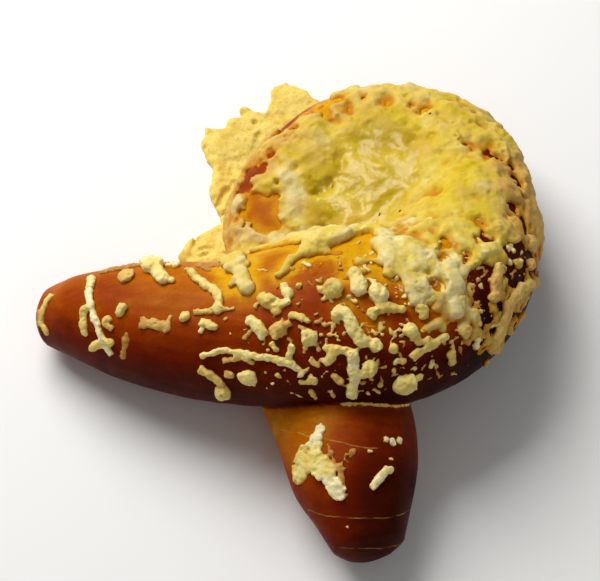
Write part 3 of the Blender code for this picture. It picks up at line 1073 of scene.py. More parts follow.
def new_finish(
    name: str, *shades: str
) -> tuple[bpy.types.Material, bpy.types.Node, bpy.types.NodeSocket, list[bpy.types.NodeSocket]]:
    """Starts a material.

    Args:
        name: What the real one is and how its surface was made.
        *shades: Names of the values that the mesh holds for each point.

    Returns:
        The material, its surface shader, the surface's coordinates and the values' outputs.
    """
    made = bpy.data.materials.new(name)
    made.use_nodes = True
    tree = made.node_tree
    place = add_node(tree, "TexCoord", out="Object")
    held = [add_node(tree, "Attribute", out="Fac", attribute_name=shade) for shade in shades]
    return made, tree.nodes["Principled BSDF"], place, held


def varied(
    tree: bpy.types.NodeTree,
    shade: bpy.types.NodeSocket,
    *patterns: tuple[bpy.types.NodeSocket, float],
) -> bpy.types.NodeSocket:
    """Varies a shade by noise, without a change to its average, and keeps it from 0 to 1.

    Args:
        tree: The material's node tree.
        shade: The shade.
        *patterns: Noises that average a half, each with its share.

    Returns:
        The varied shade.
    """
    for pattern, share in patterns:
        shade = add_node(tree, "Math", {0: pattern, 1: share, 2: shade}, operation="MULTIPLY_ADD")
    offset = sum(share for _, share in patterns) / 2
    return add_node(tree, "Math", {0: shade, 1: offset}, operation="SUBTRACT", use_clamp=True)


@dataclass(frozen=True)
class LyeCrust:
    """Wheat dough dipped in lye and baked: a thin hard skin that is smooth, with a satin gloss.

    The lye browns it from amber where steam kept it pale, through chestnut, to near black,
    and the same ramp carries painted shade on faces turned to the front and in the crease.
    Blotches and drawn-out streaks keep the brown from looking painted, fine specks and
    wrinkles dull its gloss, and blisters catch small points of light.
    """

    amber: str = "#D49C06"
    orange: str = "#B46300"
    chestnut: str = "#943800"
    russet: str = "#6E1C00"
    maroon: str = "#470F00"
    black_brown: str = "#260803"
    crumb: str = "#EAC46A"
    underside: str = "#9A5F22"
    blotch_mm: float = 9.0
    blotch_share: float = 0.2
    streak_mm: float = 2.4
    streak_share: float = 0.2
    streak_stretch: float = 0.16
    tear_mm: float = 1.3
    # Real specks are finer, and drawn this coarse to be seen
    speckle_mm: float = 0.7
    wrinkle_mm: float = 1.6
    blister_mm: float = 1.9
    line_width_mm: float = 0.2
    line_sway_mm: float = 14.0
    line_break_mm: float = 4.0

    def material(self) -> bpy.types.Material:
        """Builds the finish.

        Returns:
            The material.
        """
        made, surface, place, (brown, torn, under, blisters) = new_finish(
            "lye_baked_crust", "browning", "torn", "under", "blisters"
        )
        tree = made.node_tree
        drawn_out = add_node(
            tree, "Mapping", {"Vector": place, "Scale": (self.streak_stretch, 1.0, 1.0)}
        )
        blotches, streaks, ragged, speckles, wrinkles = (
            add_node(
                tree,
                "TexNoise",
                {"Vector": where, "Scale": per_mm(size), "Detail": detail, "Roughness": rough},
            )
            for where, size, detail, rough in (
                (place, self.blotch_mm, 6.0, 0.6),
                (drawn_out, self.streak_mm, 4.0, 0.5),
                (place, self.tear_mm, 4.0, 0.5),
                (place, self.speckle_mm, 3.0, 0.5),
                (place, self.wrinkle_mm, 4.0, 0.5),
            )
        )
        # The brown value also holds painted shade, so this ramp paints shade on faces turned to the
        # front and at the crease.
        brown = varied(tree, brown, (blotches, self.blotch_share), (streaks, self.streak_share))
        ramp = add_node(
            tree,
            "ValToRGB",
            {"Fac": brown},
            stops=(
                (0.0, self.amber),
                (0.2, self.orange),
                (0.42, self.chestnut),
                (0.62, self.russet),
                (0.82, self.maroon),
                (1.0, self.black_brown),
            ),
        )
        torn = add_node(tree, "Math", {0: ragged, 1: 0.9, 2: torn}, operation="MULTIPLY_ADD")
        torn = add_node(
            tree,
            "MapRange",
            {"Value": torn, "From Min": 1.08, "From Max": 1.3},
            interpolation_type="SMOOTHSTEP",
        )
        torn = self.with_lines(tree, place, torn)
        specks = add_node(
            tree,
            "MapRange",
            {"Value": speckles, "From Min": 0.3, "From Max": 0.7, "To Min": 0.9, "To Max": 1.08},
        )
        colour = add_node(tree, "VectorMath", {0: ramp, "Scale": specks}, operation="SCALE")
        for share, shade in ((torn, self.crumb), (under, self.underside)):
            colour = add_node(
                tree, "Mix", {"Factor": share, 6: colour, 7: linear(shade)}, 2, data_type="RGBA"
            )
        rough = add_node(
            tree,
            "MapRange",
            {"Value": blotches, "From Min": 0.3, "From Max": 0.7, "To Min": 0.36, "To Max": 0.52},
        )
        for share, more in ((under, 0.35), (torn, 0.3)):
            rough = add_node(tree, "Math", {0: share, 1: more, 2: rough}, operation="MULTIPLY_ADD")
        bump = add_node(
            tree, "Bump", {"Height": wrinkles, "Strength": 0.25, "Distance": 0.3 * MM}
        )
        domes = add_node(
            tree,
            "TexVoronoi",
            {"Vector": place, "Scale": per_mm(self.blister_mm), "Smoothness": 0.6},
            feature="SMOOTH_F1",
        )
        domes = add_node(tree, "Math", {0: domes, 1: blisters}, operation="MULTIPLY")
        bump = add_node(
            tree,
            "Bump",
            {"Height": domes, "Strength": 0.8, "Distance": 0.9 * MM, "Normal": bump},
            invert=True,
        )
        fill(
            tree,
            surface,
            {
                "Base Color": colour,
                "Roughness": rough,
                "IOR": 1.4,
                "Specular IOR Level": 0.05,
                "Normal": bump,
            },
        )
        return made

    def with_lines(
        self, tree: bpy.types.NodeTree, place: bpy.types.NodeSocket, torn: bpy.types.NodeSocket
    ) -> bpy.types.NodeSocket:
        """Adds the fine pale lines where the short end's skin stretched.

        Args:
            tree: The material's node tree.
            place: Coordinates of the surface.
            torn: How torn the skin is without the lines.

        Returns:
            How torn it is with them.
        """
        sway, broken = (
            add_node(tree, "TexNoise", {"Vector": place, "Scale": per_mm(size), "Detail": detail})
            for size, detail in ((self.line_sway_mm, 4.0), (self.line_break_mm, 3.0))
        )
        broken = add_node(tree, "MapRange", {"Value": broken, "From Min": 0.35, "From Max": 0.6})
        across = add_node(tree, "SeparateXYZ", {"Vector": place})
        for line in SKIN_LINES:
            height = add_node(
                tree,
                "VectorMath",
                {0: place, 1: (line.slope, 1.0, 0.72)},
                "Value",
                operation="DOT_PRODUCT",
            )
            height = add_node(
                tree, "Math", {0: sway, 1: 5 * MM, 2: height}, operation="MULTIPLY_ADD"
            )
            middle, half = (line.start + line.end) / 2 * MM, (line.end - line.start) / 2 * MM
            here, inside = (
                add_node(tree, "Math", {0: value, 1: target, 2: reach}, operation="COMPARE")
                for value, target, reach in (
                    (height, line.height * MM, self.line_width_mm * MM),
                    (across, middle, half),
                )
            )
            for share in (inside, broken, line.strength):
                here = add_node(tree, "Math", {0: here, 1: share}, operation="MULTIPLY")
            torn = add_node(tree, "Math", {0: torn, 1: here}, operation="MAXIMUM")
        return torn


@dataclass(frozen=True)
class MoltenGouda:
    """Young Gouda melted and set again: waxy and a little translucent, wet where fat stands.

    The dry rim toasts to tan, thin places let the crust glow through, and the pool stays
    yellow with an olive cast. Light that scatters inside softens every edge, and the fat
    on the pool breaks into small glints over its wrinkles.
    """

    pale: str = "#E6D798"
    cream: str = "#DDC45C"
    yellow: str = "#D5B730"
    deep_yellow: str = "#C8AB12"
    olive: str = "#B99D0C"
    tan: str = "#CBA04C"
    glow: str = "#C27C06"
    curd_mm: float = 2.4
    curd_share: float = 0.5
    wrinkle_mm: float = 1.1

    def material(self) -> bpy.types.Material:
        """Builds the finish.

        Returns:
            The material.
        """
        made, surface, place, (wet, toast, thin, tone) = new_finish(
            "melted_gouda", "wet", "toast", "thin", "tone"
        )
        tree = made.node_tree
        curds, wrinkles = (
            add_node(
                tree,
                "TexNoise",
                {"Vector": place, "Scale": per_mm(size), "Detail": 4.0, "Roughness": rough},
            )
            for size, rough in ((self.curd_mm, 0.6), (self.wrinkle_mm, 0.5))
        )
        tone = varied(tree, tone, (curds, self.curd_share))
        shades = (self.olive, self.deep_yellow, self.yellow, self.cream, self.pale)
        stops = tuple((index / 4, shade) for index, shade in enumerate(shades))
        colour = add_node(tree, "ValToRGB", {"Fac": tone}, stops=stops)
        for share, shade in ((toast, self.tan), (thin, self.glow)):
            colour = add_node(
                tree, "Mix", {"Factor": share, 6: colour, 7: linear(shade)}, 2, data_type="RGBA"
            )
        rough = add_node(tree, "MapRange", {"Value": wet, "To Min": 0.58, "To Max": 0.36})
        gloss = add_node(tree, "Math", {0: wet, 1: 0.42}, operation="MULTIPLY", use_clamp=True)
        bump = add_node(tree, "Bump", {"Height": wrinkles, "Strength": 0.5, "Distance": 0.4 * MM})
        fill(
            tree,
            surface,
            {
                "Base Color": colour,
                "Roughness": rough,
                "IOR": 1.45,
                "Specular IOR Level": 0.14,
                "Subsurface Weight": 0.1,
                "Subsurface Radius": (1.0, 0.7, 0.3),
                "Subsurface Scale": 1.2 * MM,
                "Coat Weight": gloss,
                "Coat Roughness": 0.12,
                "Normal": bump,
                "Coat Normal": bump,
            },
        )
        return made


@dataclass(frozen=True)
class BakedShred:
    """Grated Gouda baked on a hot crust: plump waxy crumbs, from white cream to toasted tan.

    Their thin feet toast first, which draws a darker line round each, and a fine grain keeps
    them from shining.
    """

    white: str = "#F6E8B6"
    cream: str = "#EDDA8C"
    yellow: str = "#E2C564"
    tan: str = "#D3A558"
    toasted: str = "#B67C34"
    curd_mm: float = 1.4
    curd_share: float = 0.4
    # Real grain is finer, and drawn this coarse to be seen
    grain_mm: float = 0.5

    def material(self) -> bpy.types.Material:
        """Builds the finish.

        Returns:
            The material.
        """
        made, surface, place, (toast,) = new_finish("baked_gouda_shreds", "toast")
        tree = made.node_tree
        curds, grains = (
            add_node(tree, "TexNoise", {"Vector": place, "Scale": per_mm(size), "Detail": 3.0})
            for size in (self.curd_mm, self.grain_mm)
        )
        toast = varied(tree, toast, (curds, self.curd_share))
        colour = add_node(
            tree,
            "ValToRGB",
            {"Fac": toast},
            stops=(
                (0.0, self.white),
                (0.16, self.cream),
                (0.4, self.yellow),
                (0.72, self.tan),
                (1.0, self.toasted),
            ),
        )
        bump = add_node(tree, "Bump", {"Height": grains, "Strength": 0.7, "Distance": 0.25 * MM})
        fill(
            tree,
            surface,
            {
                "Base Color": colour,
                "Roughness": 0.5,
                "IOR": 1.45,
                "Specular IOR Level": 0.2,
                "Normal": bump,
            },
        )
        return made


@dataclass(frozen=True)
class TrayCrisp:
    """Gouda that foamed and dried on a hot tray: bright, matt and full of small pores.

    Its pores are darker towards their sunken middles, and thicker patches stay deeper in colour.
    """

    bright: str = "#EACE62"
    deep: str = "#D9B03A"
    pore: str = "#BC8420"
    patch_mm: float = 5.0
    pore_mm: float = 1.1

    def material(self) -> bpy.types.Material:
        """Builds the finish.

        Returns:
            The material.
        """
        made, surface, place, _ = new_finish("tray_crisped_gouda")
        tree = made.node_tree
        patches = add_node(
            tree, "TexNoise", {"Vector": place, "Scale": per_mm(self.patch_mm), "Detail": 4.0}
        )
        stops = ((0.3, self.deep), (0.5, self.bright), (0.9, self.bright))
        base = add_node(tree, "ValToRGB", {"Fac": patches}, stops=stops)
        pores = add_node(tree, "TexVoronoi", {"Vector": place, "Scale": per_mm(self.pore_mm)})
        # The pore colour is mixed in towards each pore's middle, where the bump sinks.
        pits = add_node(
            tree,
            "MapRange",
            {"Value": pores, "From Min": 0.1, "From Max": 0.32, "To Min": 0.5, "To Max": 0.0},
        )
        colour = add_node(
            tree, "Mix", {"Factor": pits, 6: base, 7: linear(self.pore)}, 2, data_type="RGBA"
        )
        bump = add_node(tree, "Bump", {"Height": pores, "Strength": 0.4, "Distance": 0.3 * MM})
        fill(
            tree,
            surface,
            {
                "Base Color": colour,
                "Roughness": 0.7,
                "IOR": 1.45,
                "Subsurface Weight": 0.2,
                "Subsurface Radius": (1.0, 0.7, 0.3),
                "Subsurface Scale": 0.8 * MM,
                "Normal": bump,
            },
        )
        return made


@dataclass(frozen=True)
class DriedHerb:
    """Scorched flakes of dried herb: dark, rough and matt, each grain a slightly other brown."""

    light: str = "#7A6026"
    dark: str = "#40300F"
    grain_mm: float = 0.3

    def material(self) -> bpy.types.Material:
        """Builds the finish.

        Returns:
            The material.
        """
        made, surface, place, _ = new_finish("scorched_herb")
        tree = made.node_tree
        grain = add_node(tree, "TexNoise", {"Vector": place, "Scale": per_mm(self.grain_mm)})
        stops = ((0.3, self.dark), (0.7, self.light))
        colour = add_node(tree, "ValToRGB", {"Fac": grain}, stops=stops)
        fill(tree, surface, {"Base Color": colour, "Roughness": 0.8})
        return made


@dataclass
class Dough:
    """The looped rope of dough with its browned crust, and the dough that closes its eye."""

    low: tuple[float, float, float] = (-84, -94, -4)
    high: tuple[float, float, float] = (82, 80, 60)
    step: float = 0.9
    sunk: float = 0.35
    eye: Ball = Ball((27, 31, 14.5), (37, 31, 11.5), 6)
    eye_fillet: float = 6
    crease_fillet: float = 1.6
    crease_width: float = 1.3
    reach: float = 9
    ripple_mm: float = 14.0
    ripple_height: float = 0.3
    seed: int = 3
    belly: Rope = field(init=False)
    tail: Rope = field(init=False)
    points: np.ndarray = field(init=False)
    faces: np.ndarray = field(init=False)
    crease: np.ndarray = field(init=False)
    on_tail: np.ndarray = field(init=False)
    skin: Skin = field(init=False)

    def __post_init__(self) -> None:
        """Lofts the ropes and joins them."""
        self.belly, self.tail = Rope(BELLY_STATIONS), Rope(TAIL_STATIONS)
        block = Block(self.low, self.high, self.step)
        ropes = (self.belly, self.tail)
        belly, tail = (block.distance_to(*rope.loft(), self.reach) for rope in ropes)
        eye = self.eye.distance(block.places()).reshape(block.shape)
        joined = blended(blended(belly, eye, self.eye_fillet), tail, self.crease_fillet)
        points, self.faces = block.surface(joined, -self.sunk)
        gap = block.sample(belly, points) - block.sample(tail, points)
        self.crease = np.exp(-((gap / self.crease_width) ** 2))
        self.on_tail = ease(gap + 0.5)
        points[:, 2] = np.maximum(points[:, 2], 0.0)
        self.points = points
        self.skin = Skin(points, self.faces)

    def build(self, cheese: np.ndarray, shreds: np.ndarray) -> bpy.types.Object:
        """Builds the crust.

        Args:
            cheese: How close melted cheese is to each point, from 0 to 1.
            shreds: How close a shred is to each point, from 0 to 1.

        Returns:
            The dressed piece.
        """
        draft = mesh_object("draft", self.points, self.faces)
        _, _, normals = mesh_arrays(draft.data)
        bpy.data.meshes.remove(draft.data)
        lumps = Lumps(self.seed)
        above = ease(self.points[:, 2] / 4)[:, None]
        ripple = lumps.rough(self.points, self.ripple_mm, 3)[:, None] * self.ripple_height
        points = self.points + normals * ripple * above
        browning, torn, under, blisters = self.shades(normals, lumps, cheese, shreds)
        made = mesh_object(
            "knot_crust",
            points,
            self.faces,
            browning=browning,
            torn=torn,
            under=under,
            blisters=blisters,
        )
        made.data.materials.append(LyeCrust().material())
        return made

    def shades(
        self, normals: np.ndarray, lumps: Lumps, cheese: np.ndarray, shreds: np.ndarray
    ) -> tuple[np.ndarray, np.ndarray, np.ndarray, np.ndarray]:
        """How the oven left each point of the crust, with painted shade in how brown it is.

        Args:
            normals: The points' outward directions.
            lumps: Noise that breaks the shades up.
            cheese: How close melted cheese is, from 0 to 1.
            shreds: How close a shred is, from 0 to 1.

        Returns:
            Browning with painted shade, torn crumb, pale underside and blistering, each from 0 to
            1.
        """
        x, y, z = self.points.T
        # Faces turned to the front, the right end, the stub's right side and tip and the loop's
        # right flank are made darker: partly the lye's own brown and partly painted shade.
        back = normals[:, 1]
        belly = 0.35 - 0.36 * back + 0.14 * back**2 + 0.003 * np.clip(x, 0, None)
        belly += 0.16 * ease((-42 - x) / 14) * ease((back + 0.3) / 0.6)
        belly += 0.3 * ease((x - 44) / 12)
        stub = 0.2 + 0.34 * ease((x - 3) / 22) + 0.36 * ease((-y - 50) / 22)
        loop = 0.36 + 0.45 * ease((x - 50) / 14) + 0.34 * ease((y - 24) / 8) * ease((8 - x) / 8)
        browning = belly + (stub - belly) * self.on_tail * ease((-34 - y) / 4)
        browning += (loop - browning) * ease((y - 8) / 8)
        browning += 0.07 * lumps.rough(self.points, 24, 3)
        browning -= 0.36 * cheese * (1 - ease((x - 42) / 14)) + 0.05 * shreds
        under = ease((2.5 - z) / 2.5) * ease(-normals[:, 2] * 1.5)
        fold = self.crease * ease((-34 - y) / 3) * ease((z - 14) / 6)
        blisters = np.exp(-(((x - 5) / 12) ** 2 + ((y + 14) / 6) ** 2)) * ease((z - 40) / 5)
        torn = fold * ease((x - 8) / 8) + 0.62 * blisters
        # Painted shadow: the crease is darkened at its left end, where the belly overhangs the
        # short end.
        browning += 0.3 * fold * (1 - ease((x - 8) / 8))
        return np.clip(browning, 0, 1), np.clip(torn, 0, 1), under, blisters


@dataclass
class MeltedSheet:
    """The cheese that covers the loop and stands in its eye, with its runs and lacy rim."""

    low: tuple[float, float, float] = (-26, -34, 4)
    high: tuple[float, float, float] = (84, 82, 62)
    step: float = 0.585
    thickness: float = 1.5
    sink: float = 0.5
    pool: Ball = Ball((28, 33, 22), (39, 32, 9), 10)
    front_start: int = 58
    front_turn: int = 100
    front_end: int = 138
    back_angle: float = -50
    shoulder_angle: float = 86
    runs: tuple[Swell, ...] = (
        Swell(88, 24, 11),
        Swell(106, 5, 50),
        Swell(111.5, 4, 46),
        Swell(122, 4, 18),
    )
    loop_centre: tuple[float, float] = (28, 32)
    outer_radii: tuple[float, float] = (60, 52)
    back_bearings: range = range(-25, 90, 5)
    hem: float = 17
    rim_places: range = range(16, 88, 2)
    rim_angle: float = 40
    overhang: float = 9
    overhang_end: float = 12
    left_start: float = 40
    left_lead: float = 7
    left_angle: float = 88
    left_hem: float = 7
    window_depth: float = -4
    strand_count: int = 330
    strand_x: tuple[float, float] = (-22, 80)
    strand_y: tuple[float, float] = (-30, 76)
    thread_count: int = 150
    thread_along: tuple[float, float] = (107, 158)
    thread_around: tuple[float, float] = (18, 92)
    ridge_bearing: float = 25
    ridge_stretch: float = 2.6
    fade: float = 8
    seed: int = 11
    around: Block = field(init=False)
    distance: np.ndarray = field(init=False)

    def outline(self, dough: Dough) -> np.ndarray:
        """Follows the sheet's outline in plan.

        Args:
            dough: Gives the ropes that the outline runs along.

        Returns:
            The outline in mm, one point a row.
        """
        outline = []
        for along in range(self.front_start, self.front_end + 1, 2):
            share = max(0, along - self.front_turn) / (self.front_end - self.front_turn)
            angle = self.back_angle + share * (self.shoulder_angle - self.back_angle)
            angle += sum(run.at(along) for run in self.runs)
            outline.append(dough.belly.surface_point(along, min(angle, self.shoulder_angle))[:2])
        for bearing in self.back_bearings:
            turn = math.radians(bearing)
            x = self.loop_centre[0] + self.outer_radii[0] * math.cos(turn)
            outline.append((x, self.loop_centre[1] + self.outer_radii[1] * math.sin(turn)))
        for along in self.rim_places:
            share = 1 - ease((along - self.rim_places.start) / self.overhang_end)
            angle = self.rim_angle
            angle += (self.left_angle - angle) * ease((along - self.left_start) / self.left_lead)
            point = dough.tail.surface_point(along, angle)
            outward = (point - dough.tail.centre_at(along)).normalized()
            outline.append((point + outward * self.overhang * share)[:2])
        return np.array(outline)

    def inset(self, block: Block, outline: np.ndarray) -> np.ndarray:
        """How far inside the outline each column of samples stands.

        Args:
            block: The samples.
            outline: The outline's points.

        Returns:
            Distance in mm for each column, negative outside.
        """
        x, y = np.meshgrid(block.axis(0), block.axis(1), indexing="ij")
        nearest = np.full(x.shape, 1e9)
        inside = np.zeros(x.shape, dtype=bool)
        for (ax, ay), (bx, by) in zip(outline, np.roll(outline, -1, axis=0)):
            length = (bx - ax) ** 2 + (by - ay) ** 2 + 1e-9
            share = np.clip(((x - ax) * (bx - ax) + (y - ay) * (by - ay)) / length, 0, 1)
            dx, dy = x - ax - share * (bx - ax), y - ay - share * (by - ay)
            nearest = np.minimum(nearest, dx * dx + dy * dy)
            crosses = (ay > y) != (by > y)
            inside ^= crosses & (x < (bx - ax) * (y - ay) / (by - ay + 1e-12) + ax)
        return np.where(inside, 1, -1) * np.sqrt(nearest)

    def build(self, dough: Dough) -> bpy.types.Object:
        """Builds the sheet.

        Args:
            dough: What it lies on.

        Returns:
            The dressed piece.
        """
        block = Block(self.low, self.high, self.step)
        crust = block.distance_to(dough.points, dough.faces, 12)
        inset = self.inset(block, self.outline(dough))
        near = crust < 11.5
        pool = block.full(30)
        pool[near] = self.pool.distance(block.places(near))
        base = blended(crust, pool, 5)
        near &= np.abs(base) < 5
        places = block.places(near)
        lumps = Lumps(self.seed)
        in_plan = np.broadcast_to(inset[:, :, None], block.shape)[near]
        pooled = ease((crust[near] - pool[near]) / 4 + 0.4) * ease(in_plan / 6)
        skin = Skin(*block.surface(base))
        relief = block.full(0)
        relief[near] = self.thickness * self.cover(places, in_plan, lumps)
        relief[near] += 0.9 * lumps.rough(places, 9, 2) + self.folds(places, lumps) * pooled
        relief[near] += 0.36 * (1 - 2.6 * np.abs(lumps.rough(places + 20, 5.5, 2))) * (1 - pooled)
        windows = block.full(0)
        self.pit_and_swell(block, skin, dough, relief, windows, lumps)
        top = base - relief
        laid = ShredLayer(block, skin, 9, 0)
        self.lay_strands(laid, dough, inset)
        strands = -blended(-laid.distance, laid.heights - base, 0.3 + 0.6 * laid.heights)
        fillet = block.full(2)
        fillet[near] -= 1.4 * self.on_flank(places)
        joined = blended(top, strands, fillet) + windows
        joined[near] -= 0.5 * lumps.rough(places + 90, 4.2, 4) * (1 - 0.6 * pooled)
        crumbly = 1 - 2.8 * np.abs(lumps.rough(places + 35, 1.9, 2))
        joined[near] -= 0.2 * crumbly * (1 - pooled)
        solid = np.maximum(joined, -self.sink - crust)
        points, faces = largest_body(*block.surface(solid))
        self.around = Block((-40, -48, -2), (98, 96, 76), 1.5)
        self.distance = self.around.distance_to(points, faces, 14)
        depth = block.sample(crust, points)
        raised = np.clip(-block.sample(top, points), 0, None)
        pooled_field = block.full(0)
        pooled_field[near] = pooled
        wet = block.sample(pooled_field, points)
        tone, toast = self.shades(points, wet, lumps)
        on_strand = ease(1 - raised / 0.3)
        toast = np.clip(toast + block.sample(laid.toasts, points) * on_strand, 0, 1)
        tall = ease((block.sample(laid.heights, points) - 1.6) / 1.4)
        tone = np.clip(tone + (0.1 + 0.2 * tall) * on_strand * (1 - wet), 0, 1)
        patchy = 0.7 * ease((lumps.rough(points + 60, 6, 3) - 0.1) / 0.5) * (1 - on_strand)
        thin = np.clip(1 - ease((depth - 0.2) / (1.1 + 1.6 * patchy)), 0, 1) * (1 - wet)
        made = mesh_object(
            "melted_sheet", points, faces, wet=wet, toast=toast, thin=thin, tone=tone
        )
        made.data.materials.append(MoltenGouda().material())
        return made

    def nearness(self, points: np.ndarray) -> np.ndarray:
        """How close the sheet is to each point.

        Args:
            points: Places in mm, one a row.

        Returns:
            Nearness from 0 to 1.
        """
        away = np.clip(self.around.sample(self.distance, points), 0, None)
        return np.clip(1 - away / self.fade, 0, 1) ** 2

    def cover(self, places: np.ndarray, inset: np.ndarray, lumps: Lumps) -> np.ndarray:
        """How fully the cheese covers each place.

        Args:
            places: Places in mm, one a row.
            inset: How far inside the outline each stands.
            lumps: Noise that frays the edges.

        Returns:
            Cover for each: 1 is a whole sheet and below 0 is bare crust.
        """
        x, y, z = places.T
        ragged = lumps.rough(places, 7, 2)
        cover = ease((inset + 0.8 * ragged) / 4 + 0.35) * 1.8 - 0.8
        hem = self.hem + (self.left_hem - self.hem) * ease((-x - 6) / 6) * ease((48 - y) / 6)
        cover = np.minimum(cover, (z - hem + 2.0 * ragged) / 4)
        low = ease((14 - y) / 12)
        torn = 0.1 + 1.9 * low + (0.3 + 0.9 * low) * lumps.rough(places, 5, 2)
        return np.clip(cover - self.on_flank(places) * torn, -1.6, 1)

    def on_flank(self, places: np.ndarray) -> np.ndarray:
        """How far each place is on the loop's steep right side, where the cheese is lace.

        Args:
            places: Places in mm, one a row.

        Returns:
            Shares from 0 to 1.
        """
        x, y, z = places.T
        return ease((x - 56 + 0.5 * np.minimum(y + 5, 10)) / 12) * ease((46 - z) / 10)

    def folds(self, places: np.ndarray, lumps: Lumps) -> np.ndarray:
        """Height of the ridges that cheese leaves as it runs together, drawn out one way.

        Args:
            places: Places in mm, one a row.
            lumps: Noise that the ridges follow.

        Returns:
            Heights in mm.
        """
        turn = math.radians(self.ridge_bearing)
        along = places[:, 0] * math.cos(turn) + places[:, 1] * math.sin(turn)
        across = places[:, 1] * math.cos(turn) - places[:, 0] * math.sin(turn)
        drawn = np.stack([along / self.ridge_stretch, across, places[:, 2]], axis=1)
        coarse = 1 - 2.5 * np.abs(lumps.rough(drawn, 5, 2))
        fine = 1 - 2.5 * np.abs(lumps.rough(drawn + 50, 2.2, 2))
        return 0.2 * coarse + 0.08 * fine + 0.7 * lumps.rough(places + 70, 7, 2)

    def pit_and_swell(
        self,
        block: Block,
        skin: Skin,
        dough: Dough,
        relief: np.ndarray,
        windows: np.ndarray,
        lumps: Lumps,
    ) -> None:
        """Adds the named lumps, pits and windows.

        Args:
            block: The samples.
            skin: What the sheet lies on.
            dough: Gives the belly's frame.
            relief: The sheet's height, which changes.
            windows: How far the sheet and its strands are cut back, which changes.
            lumps: Noise that makes them uneven.
        """
        for spot in SHEET_SPOTS:
            hit = skin.seen_from(Vector((spot.x, spot.y, SKY)), Vector((0, 0, -1)))
            if hit is not None and spot.rise <= self.window_depth:
                block.swell(windows, hit[0], spot.radius, -spot.rise, lumps)
            elif hit is not None:
                block.swell(relief, hit[0], spot.radius, spot.rise, lumps)
        for pit in FLANK_PITS:
            hit = skin.seen_from(*dough.belly.ray(pit.along, pit.around))
            if hit is not None:
                block.swell(windows, hit[0], pit.radius, pit.depth, lumps)

    def shades(
        self, points: np.ndarray, wet: np.ndarray, lumps: Lumps
    ) -> tuple[np.ndarray, np.ndarray]:
        """How the cheese's colour varies, with some painted shade in its tone.

        Args:
            points: The sheet's points in mm.
            wet: How much each belongs to the pool.
            lumps: Noise that breaks the shades up.

        Returns:
            Tone from olive to pale cream, and toasting, each from 0 to 1.
        """
        x, y, z = points.T
        tone = 0.57 - 0.24 * wet + 0.18 * lumps.rough(points, 11, 4)
        # This follows the noise that raises the sheet's lumps, so lumps are paler and the hollows
        # between them darker: partly the cheese's own colour and partly painted shade.
        tone += 0.16 * lumps.rough(points + 90, 4.2, 3)
        toast = 0.5 * ease((x - 56) / 20) + 0.25 * ease((40 - z) / 20)
        toast += 0.15 * ease((-x - 8) / 8) + 0.22 * lumps.rough(points, 10, 3)
        warped_x = x + 2.4 * lumps.rough(points + 40, 6, 3)
        warped_y = y + 2.4 * lumps.rough(points + 80, 6, 3)
        for spot in SHEET_SPOTS:
            away = (warped_x - spot.x) ** 2 + (warped_y - spot.y) ** 2
            # A negative paler is painted shade in the dips and folds, and over the pool partly the
            # cheese's own olive and partly painted shade.
            tone += spot.paler * np.exp(-away / spot.radius**2)
            toast += spot.toast * np.exp(-away / 16)
        return np.clip(tone, 0, 1), toast * (1 - wet)

    def lay_strands(self, layer: ShredLayer, dough: Dough, inset: np.ndarray) -> None:
        """Lays half-melted shreds over the sheet, the named ones and then a scatter.

        Args:
            layer: What they are laid in, which changes.
            dough: Gives the ropes' frames.
            inset: How far inside the outline each column stands.
        """
        block, skin = layer.block, layer.skin
        draw = np.random.default_rng(self.seed)
        threads = []
        for _ in range(self.thread_count):
            along, around = draw.uniform(*self.thread_along), draw.uniform(*self.thread_around)
            turn, length = draw.uniform(0, math.pi), draw.uniform(1.5, 6.0)
            there = (along + length * math.cos(turn), around + length * math.sin(turn) * 2.6)
            bend = draw.normal(0, 0.8, 2)
            middle = ((along + there[0]) / 2 + bend[0], (around + there[1]) / 2 + 3 * bend[1])
            width = draw.uniform(0.8, 1.9)
            toast = draw.uniform(0.25, 0.9)
            threads.append(Shred(width, toast, ((along, around), middle, there), 0.8))
        groups = ((dough.belly, threads), (dough.tail, RIM_STRANDS), (dough.belly, FLANK_STRANDS))
        for rope, strands in groups:
            for strand in strands:
                layer.lay(rope, strand, draw)
        for _ in range(self.strand_count):
            x, y = draw.uniform(*self.strand_x), draw.uniform(*self.strand_y)
            length = draw.uniform(2, 8)
            heading = draw.normal(0.6, 0.8)
            radius = draw.uniform(0.6, 1.5)
            toast = draw.uniform(0, 0.4)
            column = (int(x / block.step) - block.first[0], int(y / block.step) - block.first[1])
            if inset[column] < draw.uniform(-1.0, 5.0):
                continue
            hit = skin.seen_from(Vector((x, y, SKY)), Vector((0, 0, -1)))
            if hit is None or hit[0].z < self.hem:
                continue
            place, normal = hit
            radius *= 1 - 0.45 * float(self.on_flank(np.array([place]))[0])
            path = [place]
            step = Vector((math.cos(heading), math.sin(heading), 0))
            for _ in range(3):
                step = (step - normal * step.dot(normal)).normalized()
                place, normal = skin.nearest(place + step * length / 3)
                path.append(place)
                step = step + Vector(draw.normal(0, 0.35, 3))
            for start, end in zip(path, path[1:]):
                radii = (radius * draw.uniform(0.8, 1.2), radius * draw.uniform(0.8, 1.2))
                layer.add((start, end), radii, 0.8, toast, 1.3 * radius)


def largest_body(points: np.ndarray, faces: np.ndarray) -> tuple[np.ndarray, np.ndarray]:
    """Drops the loose scraps of a mesh.

    Args:
        points: The mesh's points.
        faces: Its quads.

    Returns:
        What is left of both.
    """
    label = np.arange(len(points))
    while True:
        low = label[faces].min(axis=1)
        before = label.copy()
        for corner in range(faces.shape[1]):
            np.minimum.at(label, faces[:, corner], low)
        label = label[label]
        if np.array_equal(before, label):
            break
    sizes = np.bincount(label, minlength=len(points))
    kept = sizes[label] > SCRAP_POINTS
    index = np.cumsum(kept) - 1
    return points[kept], index[faces[kept[faces[:, 0]]]]


